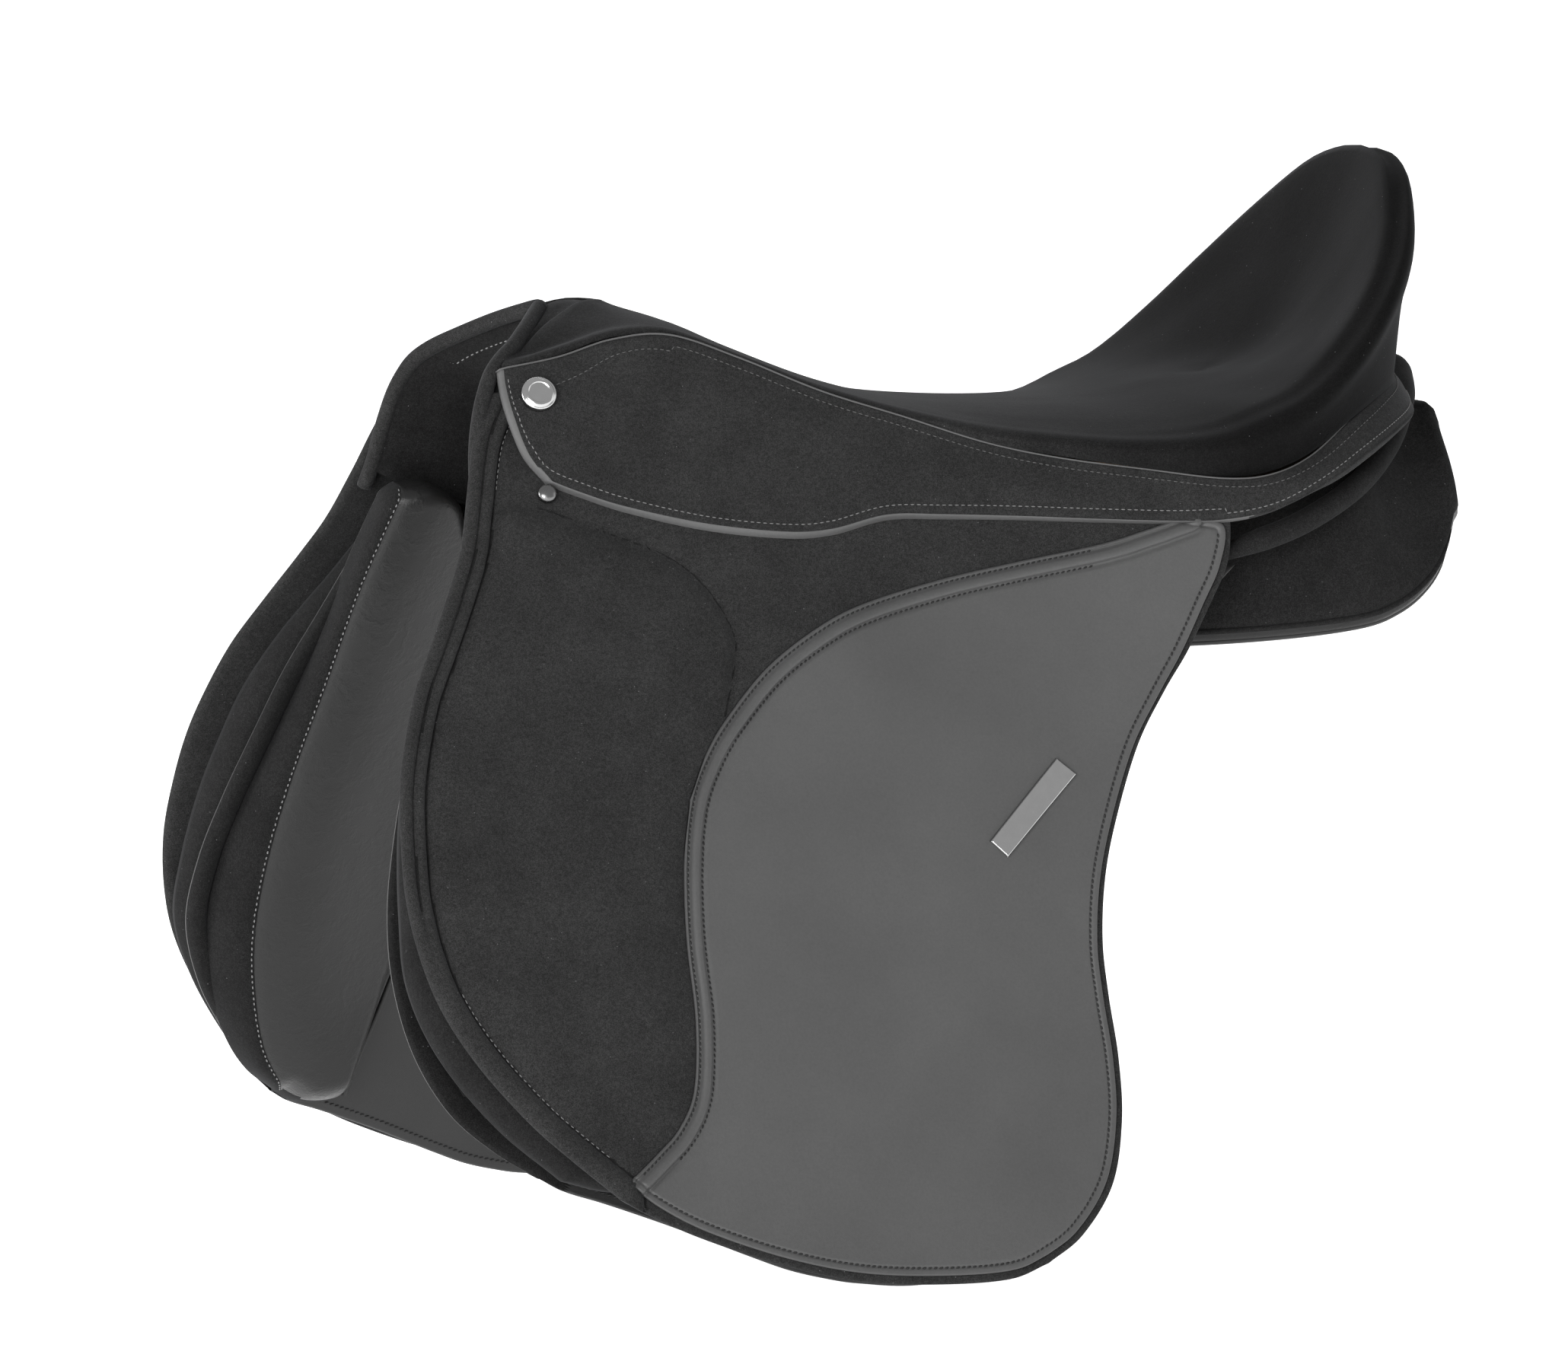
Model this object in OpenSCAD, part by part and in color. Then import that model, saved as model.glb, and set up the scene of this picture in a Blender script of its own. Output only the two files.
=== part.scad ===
// English general-purpose saddle. Millimetres, +Z up, -X towards the horse's head,
// -Y is the near (left) side. The origin is in the channel, where the saddle bears on the back.

/* [Saddle] */
// Half width of the saddle across the flaps, at their lowest line
flap_spread = 254; // [235:1:265]
// Half width of the pommel, at its top
pommel_half_w = 58; // [54:1:62]
// Height of the cantle's top above the bearing line
cantle_h = 204; // [195:1:210]

/* [Leather] */
// Thickness of the flaps
flap_t = 4.5; // [3.5:0.1:5]
// Thickness of the skirts
skirt_t = 3; // [2.5:0.1:3.5]
// Thickness of the sweat flaps
sweat_t = 2.5; // [2:0.1:3]
// Width of a girth strap
strap_w = 25; // [24:0.5:26]
// Thickness of a girth strap
strap_t = 3.5; // [3:0.1:4]
// Diameter of the holes in a girth strap
strap_hole_d = 5; // [4.5:0.1:5.5]

/* [Metal] */
// Length of the stirrup bar that takes the leather
bar_len = 56; // [50:1:60]
// Diameter of the stirrup bar
bar_d = 9; // [8:0.5:10]
// Diameter of the bar catch's pivot pin
pin_d = 4; // [3.5:0.1:4.5]

/* [Hidden] */

// ---- curves and grids -------------------------------------------------------------------

function mix(a, b, t) = a + (b - a) * t;

// Catmull-Rom segment between b and c
function segment(a, b, c, d, t) =
    0.5 * (2 * b + (c - a) * t + (2 * a - 5 * b + 4 * c - d) * t * t + (3 * b - a - 3 * c + d) * t * t * t);

// Point of a smooth open curve through p, at share u of its points
function at(p, u) = let (
        last = len(p) - 1,
        s = min(max(u, 0), 1) * last,
        i = min(floor(s), last - 1),
        before = i > 0 ? p[i - 1] : 2 * p[0] - p[1],
        after = i + 2 <= last ? p[i + 2] : 2 * p[last] - p[last - 1])
    segment(before, p[i], p[i + 1], after, s - i);

// Coons patch: rows run from top to bottom, columns from front to rear. A lean over 1 crowds the
// columns towards the front.
function coons(top, bottom, front, rear, nu, nv, lean = 1) = [for (j = [0:nv]) [for (i = [0:nu])
    let (u = pow(i / nu, lean), v = j / nv)
        (1 - v) * at(top, u) + v * at(bottom, u) + (1 - u) * at(front, v) + u * at(rear, v)
        - (1 - u) * (1 - v) * top[0] - u * (1 - v) * top[len(top) - 1]
        - (1 - u) * v * bottom[0] - u * v * bottom[len(bottom) - 1]]];

function flat(grid) = [for (row = grid) each row];

// Closed solid between an outer and an inner grid of the same size
module slab(outer, inner) {
    rows = len(outer);
    cols = len(outer[0]);
    n = rows * cols;
    faces = concat(
        [for (j = [0:rows - 2]) for (i = [0:cols - 2])
            let (a = j * cols + i, b = a + 1, c = a + cols + 1, d = a + cols)
                each [[a, b, c], [a, c, d], [n + a, n + c, n + b], [n + a, n + d, n + c]]],
        [for (i = [0:cols - 2]) let (a = i, b = (rows - 1) * cols + i)
            each [[a + 1, a, n + a], [a + 1, n + a, n + a + 1],
                  [b, b + 1, n + b + 1], [b, n + b + 1, n + b]]],
        [for (j = [0:rows - 2]) let (a = j * cols, b = a + cols - 1)
            each [[a, a + cols, n + a + cols], [a, n + a + cols, n + a],
                  [b + cols, b, n + b], [b + cols, n + b, n + b + cols]]]);
    polyhedron(concat(flat(outer), flat(inner)), faces);
}

// Loft through rings of points, all of one length, with flat ends
module loft(rings) {
    m = len(rings[0]);
    last = len(rings) - 1;
    ring_faces = [for (j = [0:last - 1]) for (i = [0:m - 1])
        let (a = j * m + i, b = j * m + (i + 1) % m, c = b + m, d = a + m)
            each [[a, c, b], [a, d, c]]];
    ends = concat(
        [for (i = [1:m - 2]) [0, i, i + 1]],
        [for (i = [1:m - 2]) [last * m, last * m + i + 1, last * m + i]]);
    polyhedron(flat(rings), concat(ring_faces, ends));
}

// Tube of radius r along the smooth curve p
module tube(p, r, count, sides = 8) {
    rings = [for (k = [0:count]) let (
            here = at(p, k / count),
            ahead = at(p, min(k / count + 0.01, 1)) - at(p, max(k / count - 0.01, 0)),
            t = ahead / norm(ahead),
            n1 = cross(t, [0, 1, 0]) / norm(cross(t, [0, 1, 0])),
            n2 = cross(t, n1))
        [for (s = [0:sides - 1]) here + r * (cos(360 * s / sides) * n1 + sin(360 * s / sides) * n2)]];
    loft(rings);
}

// ---- the side surface that flaps, skirts and straps lie on ------------------------------

TOP_Z = 110;
DROP = 400;

// Table read at x and rounded off over its corners
function eased(x, table) = (lookup(x - 30, table) + lookup(x - 15, table) + lookup(x, table)
    + lookup(x + 15, table) + lookup(x + 30, table)) / 5;

TOP_W = [[-260, -4], [-200, 0], [-170, 5], [-100, 16], [0, 28], [60, 40], [120, 62], [180, 78], [260, 82]];
FOOT_W = [[-260, -11], [-200, -4], [-100, 0], [0, 2], [100, -2], [200, -8]];

// Half width of the flaps' outer face at x, z
function half_w(x, z) = let (
        t = (TOP_Z - z) / DROP,
        g = t > 0 ? t + 0.045 * sin(180 * min(t, 1)) : t)
    mix(pommel_half_w + eased(x, TOP_W), flap_spread + eased(x, FOOT_W), g);

// Room between a flap's outer face and the sweat flap behind it
GAP = [[-260, 36], [-180, 34], [-120, 27], [-60, 22], [60, 19], [130, 15]];
function gap(x) = eased(x, GAP);

// The flap's front edge spreads over the knee block: spread by z, and the edge's x by z
KNEE = [[-240, 4], [-206, 4], [-182, 3], [-158, 3], [-135, 4.5], [-111, 7], [-35, 7], [-12, 6.5], [10, 5],
    [22, 3], [38, -2], [50, -5], [70, -6], [104, -5]];
FRONT_X = [[-240, -191], [-222, -210.5], [-206, -227], [-182, -246], [-158, -259.5], [-135, -266.5],
    [-111, -269.5], [-88, -268.5], [-65, -265.5], [-45, -260], [-22, -251], [-2, -239.5], [21, -226],
    [38, -217], [58, -210], [85, -201], [104, -190]];
function flap_w(x, z) = let (t = min(max(1 - (x - eased(z, FRONT_X)) / 55, 0), 1))
    half_w(x, z) + eased(z, KNEE) * t * t * (3 - 2 * t);

// Grid on the near side surface, moved outwards by out
function on_side(grid, out) = [for (row = grid) [for (p = row) [p.x, -flap_w(p.x, p.y) - out, p.y]]];
function behind(grid, out) = [for (row = grid) [for (p = row) [p.x, gap(p.x) - half_w(p.x, p.y) - out, p.y]]];

// Crown of a padded piece: 0 at the edges, 1 in the middle
function crown(grid, i, j) = sqrt(sin(180 * i / (len(grid[0]) - 1)) * sin(180 * j / (len(grid) - 1)));

// ---- seat --------------------------------------------------------------------------------

// Each ray runs from the seat's middle to its edge: [middle x, edge x, edge half width, edge z,
// rim z, share of cantle]. The first is at the front, the last at the rear.
RAYS = [
    [-112, -145, 0, 134, 139, 0], [-115, -158, 24, 128, 135, 0], [-118, -184, 54, 117, 127, 0],
    [-115, -160, 58, 121, 129, 0], [-110, -134, 58, 129, 134, 0], [-98, -108, 61, 128, 132, 0],
    [-74, -78, 70, 117, 121, 0], [-42, -43, 83, 102, 107, 0], [-8, -8, 94, 91, 96.5, 0],
    [28, 28, 107, 79.5, 89, 0], [60, 62, 117, 73, 85, 0.05], [90, 96, 130, 68, 83, 0.12],
    [116, 128, 140, 64, 86, 0.25], [132, 150, 142, 66, 94, 0.4], [144, 172, 138, 74, 104, 0.6],
    [152, 196, 127, 88, 125, 0.8], [158, 216, 109, 96, 149, 1], [161, 232, 86, 100, 171.5, 1],
    [164, 245, 52, 104, 193.5, 1], [165, 251, 25, 105, 202, 1], [165, 253, 0, 106, 204, 1]];
MIDDLE_Z = [[-118, 140], [-90, 131], [-68, 121], [-30, 106], [8, 96.5], [50, 92.5], [91, 91.5], [122, 93.5],
    [165, 103]];
// Rings outwards from the middle: [reach, height share] on the seat, then on the cantle, then the
// outward and upward parts of the surface's direction.
RINGS = [
    [0.10, 0.00, 0.14, 0.00, 0, 1], [0.34, 0.10, 0.42, 0.14, 0, 1], [0.60, 0.45, 0.74, 0.55, 0, 1],
    [0.82, 1.00, 0.97, 1.00, 0, 1], [0.94, 1.22, 1.075, 1.03, 0.7, 0.7], [0.99, 1.50, 1.095, 1.18, 0.85, 0.5],
    [1.00, 1.75, 1.04, 1.50, 1, 0], [1.00, 2.00, 1.00, 2.00, 1, 0]];
RAY_N = len(RAYS) - 1;
RING_N = len(RINGS) - 1;

// Point of the seat on ray i and ring j, at a depth below the surface. Side is -1 or 1.
function seat_point(i, j, depth, side) = let (
        ray = RAYS[i],
        ring = RINGS[j],
        k = ray[5],
        reach = mix(ring[0], ring[2], k),
        share = mix(ring[1], ring[3], k),
        mid_z = lookup(ray[0], MIDDLE_Z),
        rim_z = ray[4] + (i == RAY_N ? cantle_h - 204 : 0),
        z = share <= 1 ? mix(mid_z, rim_z, share) : mix(rim_z, ray[3], share - 1),
        run = [ray[1] - ray[0], side * ray[2]],
        out = run / norm(run))
    [ray[0] + run.x * reach - out.x * ring[4] * depth, run.y * reach - out.y * ring[4] * depth,
        z - ring[5] * depth];

// All rays in a closed loop: near side from front to rear, then the off side back again
SEAT_LOOP = concat([for (i = [0:RAY_N]) [i, -1]], [for (i = [RAY_N - 1:-1:1]) [i, 1]]);
LOOP_N = len(SEAT_LOOP);

function seat_shell_points(depth) =
    [for (j = [0:RING_N]) for (s = SEAT_LOOP) seat_point(s[0], j, depth, s[1])];

// Faces of one skin of the seat, from point number base, seen from above unless turned over
function seat_skin(base, over) = let (faces = concat(
        [for (j = [0:RING_N - 1]) for (k = [0:LOOP_N - 1])
            let (a = base + j * LOOP_N + k, b = base + j * LOOP_N + (k + 1) % LOOP_N,
                c = b + LOOP_N, d = a + LOOP_N)
                each [[a, b, c], [a, c, d]]],
        [for (i = [1:RAY_N - 2])
            let (a = base + i, b = a + 1, c = base + LOOP_N - i - 1, d = c + 1)
            each [[a, d, c], [a, c, b]]],
        [[base, base + LOOP_N - 1, base + 1], [base + RAY_N, base + RAY_N - 1, base + RAY_N + 1]]))
    [for (f = faces) over ? [f[2], f[1], f[0]] : f];

module seat_layer(outer_depth, inner_depth) {
    n = (RING_N + 1) * LOOP_N;
    edge = RING_N * LOOP_N;
    rim = [for (k = [0:LOOP_N - 1]) let (a = edge + k, b = edge + (k + 1) % LOOP_N)
        each [[a, b, n + b], [a, n + b, n + a]]];
    polyhedron(
        concat(seat_shell_points(outer_depth), seat_shell_points(inner_depth)),
        concat(seat_skin(0, false), seat_skin(n, true), rim));
}

module seat_cover() { color("#2e2e2e") seat_layer(0, 2.2); }
module seat_foam() { color("#c9b98a") seat_layer(3.4, 12); }

// ---- tree --------------------------------------------------------------------------------

// Point of the tree's boards, whose outer edge stops short of the foam's wall
function board_point(i, j, depth, side) = j < 3
    ? seat_point(i, j, depth, side)
    : mix(seat_point(i, 2, depth, side), seat_point(i, 3, depth, side), 0.8);

// Side rail, with a blade turned down beside the channel for the stirrup bar
module tree_rail() {
    rays = [5:15];
    upper = [for (j = [1:3]) [for (i = rays) board_point(i, j, 15.5, -1)]];
    lower = [for (j = [1:3]) [for (i = rays) board_point(i, j, 24, -1)]];
    ends = [for (i = rays) let (p = board_point(i, 3, 24, -1)) i < 9
        ? [p.x, -half_w(p.x, 66) + 33, 66]
        : [p.x, p.y + 3, p.z - 2]];
    slab(concat(upper, [ends]), concat(lower, [[for (p = ends) [p.x, p.y + 8, p.z]]]));
}

module near_tree_rail() { color("#b08d57") tree_rail(); }
module off_tree_rail() { color("#b08d57") mirror([0, 1, 0]) tree_rail(); }

// Cantle board: a dished board across the back of the seat
module tree_cantle() {
    spans = [for (i = [16:RAY_N]) [i, -1]];
    back = [for (i = [RAY_N - 1:-1:16]) [i, 1]];
    columns = concat(spans, back);
    upper = [for (j = [1:3]) [for (c = columns) board_point(c[0], j, 15.5, c[1])]];
    lower = [for (j = [1:3]) [for (c = columns) board_point(c[0], j, 24, c[1])]];
    color("#b08d57") slab(upper, lower);
}

// Line of the gullet arch in y and z, from the near point over the top to the off point
ARCH = [[-78, 44], [-70, 68], [-59, 92], [-46, 105], [-24, 111], [0, 112],
    [24, 111], [46, 105], [59, 92], [70, 68], [78, 44]];

function arch_point(u, out) = let (
        p = at(ARCH, u),
        run = at(ARCH, min(u + 0.01, 1)) - at(ARCH, max(u - 0.01, 0)),
        t = run / norm(run))
    p + out * [-t.y, t.x];

// Band along part of the arch, between two x and two distances outside its line
module arch_band(x0, x1, low, high, from = 0, to = 1, count = 20) {
    stations = [x0, (x0 + x1) / 2, x1];
    top = [for (x = stations) [for (i = [0:count])
        let (p = arch_point(mix(from, to, i / count), high)) [x, p.x, p.y]]];
    under = [for (x = stations) [for (i = [0:count])
        let (p = arch_point(mix(from, to, i / count), low)) [x, p.x, p.y]]];
    slab(top, under);
}

module tree_head() { color("#b08d57") arch_band(-144, -114, 3, 9.5); }
module gullet_band() { arch_band(-142, -116, 0.5, 2.5, 0.12, 0.88); }
module gullet_plate() { color("#8d9196") gullet_band(); }

module gullet_rivets() {
    color("#b9bcc0") difference() {
        for (u = [0.2, 0.33, 0.67, 0.8]) {
            p = arch_point(u, 0);
            t = arch_point(u + 0.01, 0) - arch_point(u - 0.01, 0);
            translate([-129, p.x, p.y]) rotate([atan2(t.y, t.x), 0, 0]) translate([0, 0, -1.2])
                cylinder(h = 2.4, d = 9, $fn = 32);
        }
        gullet_band();
    }
}

// Webbing strips along the seat, over the head and the cantle board
module seat_webbing() {
    rays = [2:18];
    color("#d8d2c0") for (side = [-1, 1]) {
        top = [for (j = [0:1]) [for (i = rays) seat_point(i, j, 13.8, side)]];
        under = [for (j = [0:1]) [for (i = rays) seat_point(i, j, 15, side)]];
        if (side < 0) slab(top, under);
        else slab(under, top);
    }
}

// Webbing from the rails down to the tops of the girth straps
module girth_web() {
    rays = [7:9];
    top = [for (j = [2:3]) [for (i = rays) seat_point(i, j, 13.8, -1)]];
    under = [for (j = [2:3]) [for (i = rays) seat_point(i, j, 15, -1)]];
    fall = [for (step = [[23, 70], [23, 57], [13, 43]])
        [for (p = top[1]) [p.x, min(step[0] - half_w(p.x, step[1]), p.y - 2), step[1]]]];
    inside = [for (row = fall) [for (p = row) [p.x, p.y + 1.5, p.z]]];
    slab(concat(top, fall), concat(under, inside));
}

module girth_webbing() {
    color("#d8d2c0") girth_web();
    color("#d8d2c0") mirror([0, 1, 0]) girth_web();
}

// ---- skirts --------------------------------------------------------------------------------

// Stations along the skirt: x, half width and z at the seat seam, then x, half width and z at the
// foot of the fixed part. A half width of 0 lies on the side surface.
SKIRT = [
    [-187, 57.5, 115, -188, 0, 102], [-160, 61, 119.5, -160, 0, 94.6], [-134, 61, 127, -134, 0, 87.6],
    [-108, 64, 128.5, -108, 0, 80.7], [-78, 73, 118, -78, 0, 72.7], [-43, 86, 103, -43, 0, 63.4],
    [-8, 97.2, 91.5, -8, 0, 54.1], [28, 109.4, 79.5, 28, 0, 48], [60, 119, 72.5, 60, 0, 46],
    [96, 132, 67.5, 96, 0, 45], [128, 143, 63.5, 127, 0, 45], [150, 145, 65, 152, 149, 48.5],
    [172, 141, 73, 178, 147, 62], [196, 130, 87, 202, 135, 74], [216, 112, 95, 224, 114, 82],
    [232, 89, 99.3, 241, 90, 86], [245, 54, 103, 253, 54, 90], [251, 27, 104.5, 259, 27, 92],
    [253, 1, 105, 261, 1, 93]];
SKIRT_TOP = [for (s = SKIRT) [s[0], -s[1], s[2]]];
SKIRT_FOOT = [for (s = SKIRT) [s[3], s[4] > 0 ? -s[4] : -half_w(s[3], s[5]) - 3.5, s[5]]];

function skirt_point(u, v, inwards) = let (
        p = mix(at(SKIRT_TOP, u), at(SKIRT_FOOT, u), v),
        run = at(SKIRT_TOP, min(u + 0.01, 1)) - at(SKIRT_TOP, max(u - 0.01, 0)),
        t = [run.x, run.y] / norm([run.x, run.y]),
        out = 1.1 + 1.8 * sin(180 * v) - inwards)
    [p.x + t.y * out, p.y - t.x * out, p.z];

module skirt_top() {
    cols = 40;
    outer = [for (j = [0:3]) [for (i = [0:cols]) skirt_point(i / cols, j / 3, 0)]];
    inner = [for (j = [0:3]) [for (i = [0:cols]) skirt_point(i / cols, j / 3, skirt_t)]];
    slab(outer, inner);
}

// Front lobe, which lifts to bare the stirrup bar
module skirt() {
    grid = coons(
        [[-188, 97.5], [-130, 82.5], [-70, 66.6], [-10, 50.6]],
        [[-183, 78], [-176, 67], [-160, 60], [-140, 53], [-106, 45], [-71, 41], [-49, 42], [-23, 47.5],
         [-10, 48.2]],
        [[-188, 97.5], [-187, 88], [-183, 78]],
        [[-10, 50.6], [-10, 48.2]], 20, 3);
    slab(on_side(grid, 0.5 + skirt_t), on_side(grid, 0.5));
}

module near_skirt_top() { color("#2e2e2e") skirt_top(); }
module off_skirt_top() { color("#2e2e2e") mirror([0, 1, 0]) skirt_top(); }
module near_skirt() { color("#303030") skirt(); }
module off_skirt() { color("#303030") mirror([0, 1, 0]) skirt(); }

// ---- flaps ---------------------------------------------------------------------------------

FLAP_FRONT = [[-219, 34], [-226, 21], [-239.5, -2], [-251, -22], [-260, -45], [-265.5, -65], [-268.5, -88],
    [-269.5, -111], [-266.5, -135], [-259.5, -158], [-246, -182], [-227, -206], [-210.5, -222], [-191, -239]];
FLAP_FOOT = [[-191, -239], [-177, -247], [-154, -257.5], [-119, -270], [-84, -278], [-48, -280.5],
    [-15, -279.5], [4, -273.5]];
FLAP_REAR = [[129, 34], [126.5, 26], [117, 9], [104, -12], [91.5, -29], [76.5, -52], [62.5, -83],
    [53.5, -109],
    [48.5, -136], [48, -160], [49, -187], [47, -214], [39, -241], [22, -262], [4, -273.5]];

module flap() {
    grid = coons([[-219, 34], [-100, 34], [20, 34], [129, 34]],
        FLAP_FOOT, FLAP_FRONT, FLAP_REAR, 20, 16, 1.4);
    slab(on_side(grid, 0), on_side(grid, -flap_t));
}

// Upper part, held under the skirt and cut away round the stirrup bar
module flap_top() {
    grid = coons(
        [[-190, 104], [-165, 104], [-134, 100], [-120, 60], [-70, 48], [-20, 50], [-8, 72], [28, 66],
         [60, 60],
            [96, 56], [129, 53]],
        [[-217, 38], [-100, 38], [20, 38], [129, 38]],
        [[-190, 104], [-201, 85], [-210, 58], [-217, 38]],
        [[129, 53], [129, 38]], 32, 3);
    slab(on_side(grid, 0), on_side(grid, -flap_t));
}

// Smooth leather facing over the rear of the flap
module flap_panel() {
    grid = coons(
        [[-133, -71], [-109, -35], [-88, -15], [-63, 1], [-40, 11], [-2, 21], [34, 28], [72, 32],
         [124, 32.5]],
        [[-186, -233], [-175, -242], [-153, -253.5], [-118, -265.5], [-84, -273.5], [-48, -276], [-15, -275],
            [2, -269]],
        [[-133, -71], [-140, -98], [-144, -131], [-145, -164], [-150, -194], [-159, -210], [-170, -220],
            [-186, -233]],
        [[124, 32.5], [113, 9], [100, -12], [87.5, -29], [72.5, -52], [58.5, -83], [49.5, -109], [44.5, -136],
            [44, -160], [45, -187], [43, -213], [35, -239], [19.5, -259], [2, -269]], 15, 15);
    slab(on_side(grid, 1.9), on_side(grid, 0.4));
}

// Padded front of the flap
module knee_pad() {
    grid = coons(
        [[-205, 31], [-175, 31.5], [-148, 31], [-122, 30]],
        [[-188, -222], [-177, -216], [-166, -208]],
        [[-205, 31], [-212, 18], [-228, -5], [-240.5, -26], [-249.5, -48], [-255, -68], [-257.5, -90],
            [-257.5, -112], [-254, -135], [-245.5, -157], [-231, -179], [-211, -201], [-188, -222]],
        [[-122, 30], [-110, 19], [-101, -1], [-103, -15], [-113, -36], [-127, -58], [-138, -80], [-145, -105],
            [-149, -131], [-150, -164], [-155, -192], [-166, -208]], 12, 16);
    outer = [for (j = [0:16]) [for (i = [0:12]) let (p = grid[j][i])
        [p.x, -flap_w(p.x, p.y) - 1.4 - 5.5 * crown(grid, i, j), p.y]]];
    slab(outer, on_side(grid, 1.2));
}

module nameplate() {
    grid = coons([[1, -92], [37, -57]], [[8, -99], [45, -64]], [[1, -92], [8, -99]], [[37, -57],
        [45, -64]], 6, 2);
    slab(on_side(grid, 4.2), on_side(grid, 2.3));
}

module sweat_flap() {
    grid = coons(
        [[-222, 34], [-150, 34], [-80, 34], [0, 33], [60, 30], [118, 24]],
        [[-213, -234], [-188, -244], [-156, -256], [-124, -269], [-92, -279], [-50, -283], [-10, -278]],
        [[-222, 34], [-230, 0], [-238, -30], [-248, -60], [-258, -90], [-265.5, -120], [-267.5, -150],
            [-262.5, -180], [-250, -205], [-232, -222], [-213, -234]],
        [[118, 24], [78, -30], [52, -80], [40, -120], [38, -170], [36, -215], [18, -255],
         [-10, -278]], 15, 15);
    slab(behind(grid, 0), behind(grid, -sweat_t));
}

// Moulded block in front of the knee, between the flap and the sweat flap
module knee_block() {
    grid = coons(
        [[-211, 26], [-190, 26], [-168, 24]],
        [[-212, -233], [-190, -238], [-166, -238]],
        [[-211, 26], [-220, 10], [-236, -15], [-248, -40], [-256, -65], [-262, -90], [-266, -120],
            [-267, -150], [-257, -180], [-235.5, -210], [-212, -233]],
        [[-168, 24], [-178, -20], [-190, -60], [-199, -100], [-197, -140], [-185, -180],
            [-166, -238]], 6, 14);
    outer = [for (j = [0:14]) [for (i = [0:6]) let (p = grid[j][i])
        [p.x, 16 - 10 * crown(grid, i, j) - flap_w(p.x, p.y), p.y]]];
    inner = [for (j = [0:14]) [for (i = [0:6]) let (p = grid[j][i])
        [p.x, 24 + (gap(p.x) - 27) * crown(grid, i, j) - flap_w(p.x, p.y), p.y]]];
    slab(outer, inner);
}

module near_flap_top() { color("#343434") flap_top(); }
module off_flap_top() { color("#343434") mirror([0, 1, 0]) flap_top(); }
module near_flap() { color("#343434") flap(); }
module off_flap() { color("#343434") mirror([0, 1, 0]) flap(); }
module near_flap_panel() { color("#5a5a5a") flap_panel(); }
module off_flap_panel() { color("#5a5a5a") mirror([0, 1, 0]) flap_panel(); }
module near_knee_pad() { color("#363636") knee_pad(); }
module off_knee_pad() { color("#363636") mirror([0, 1, 0]) knee_pad(); }
module near_nameplate() { color("#d5d7da") nameplate(); }
module off_nameplate() { color("#d5d7da") mirror([0, 1, 0]) nameplate(); }
module near_sweat_flap() { color("#454545") sweat_flap(); }
module off_sweat_flap() { color("#454545") mirror([0, 1, 0]) sweat_flap(); }
module near_knee_block() { color("#262626") knee_block(); }
module off_knee_block() { color("#262626") mirror([0, 1, 0]) knee_block(); }

// ---- panels --------------------------------------------------------------------------------

// Sections along the bearing part: x, then half width at the channel, top z, half width of the top's
// outer edge, z of the foot at the channel, half width and z of the foot's outer edge
PANEL = [
    [-152, 34, 66, 46, 42, 58, 32], [-142, 31, 72, 51, 34, 68, 18], [-110, 32, 68, 54, 24, 74, 8],
    [-50, 32, 62, 62, 8, 92, -6], [20, 32, 58, 82, 2, 102, -14], [90, 33, 56, 102, 0, 116, -17],
    [150, 34, 58, 110, 0, 124, -16], [200, 35, 68, 104, 2, 122, -10], [236, 38, 73, 82, 12, 112, 0],
    [256, 46, 70, 68, 34, 98, 26], [263, 54, 61, 76, 46, 86, 40]];

function panel_ring(s) = let (
        a = s[1], zt = s[2], b = s[3], zi = s[4], c = s[5], zo = s[6])
    [for (p = [[a, zt - 6], [a + 5, zt], [(a + b) / 2, zt + 1], [b - 5, zt], [b, zt - 7],
        [(b + c) / 2 + 3, (zt + zo) / 2], [c, zo + 9], [c - 8, zo], [(a + c) / 2, (zi + zo) / 2 - 3],
        [a + 7, zi], [a, zi + 7]]) [s[0], -p.x, p.y]];

module panel() {
    count = 24;
    loft([for (k = [0:count]) panel_ring(at(PANEL, k / count))]);
}

// Thin lower part of the panel, under the sweat flap
module lower_panel() {
    grid = coons(
        [[-204, 54], [-184, 52], [-166, 40], [-150, 16], [-110, 1], [-50, -12], [0, -20]],
        [[-216, -235], [-202, -239], [-185, -237]],
        [[-204, 54], [-212, 28], [-219, 0], [-227, -35], [-238, -76], [-245, -113], [-247, -150],
            [-243, -181], [-232, -211], [-216, -235]],
        [[0, -20], [-34, -36], [-80, -54], [-112, -82], [-135, -120], [-152, -165], [-165, -200],
            [-185, -237]], 10, 14);
    outer = [for (row = grid) [for (p = row) [p.x, gap(p.x) + sweat_t + 1.5 - half_w(p.x, p.y), p.y]]];
    inner = [for (j = [0:14]) [for (i = [0:10]) let (p = outer[j][i])
        [p.x, p.y + 9 + 17 * crown(grid, i, j), p.z]]];
    slab(outer, inner);
}

// Rolled edge of the panel, from behind the cantle to below the skirt
module panel_roll() {
    tube([[262, -8, 83], [258, -50, 82], [242, -94, 76], [214, -124, 62], [180, -139, 47], [152, -141, 33],
        [132, -136, 23]], 6.5, 18, 8);
}

module near_panel() { color("#2c2c2c") panel(); }
module off_panel() { color("#2c2c2c") mirror([0, 1, 0]) panel(); }
module near_panel_front() { color("#3c3c3c") lower_panel(); }
module off_panel_front() { color("#3c3c3c") mirror([0, 1, 0]) lower_panel(); }
module near_panel_roll() { color("#333333") panel_roll(); }
module off_panel_roll() { color("#333333") mirror([0, 1, 0]) panel_roll(); }

CHANNEL_Z = [[-108, 74], [-50, 68], [10, 60], [90, 58], [180, 64], [236, 72]];

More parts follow.
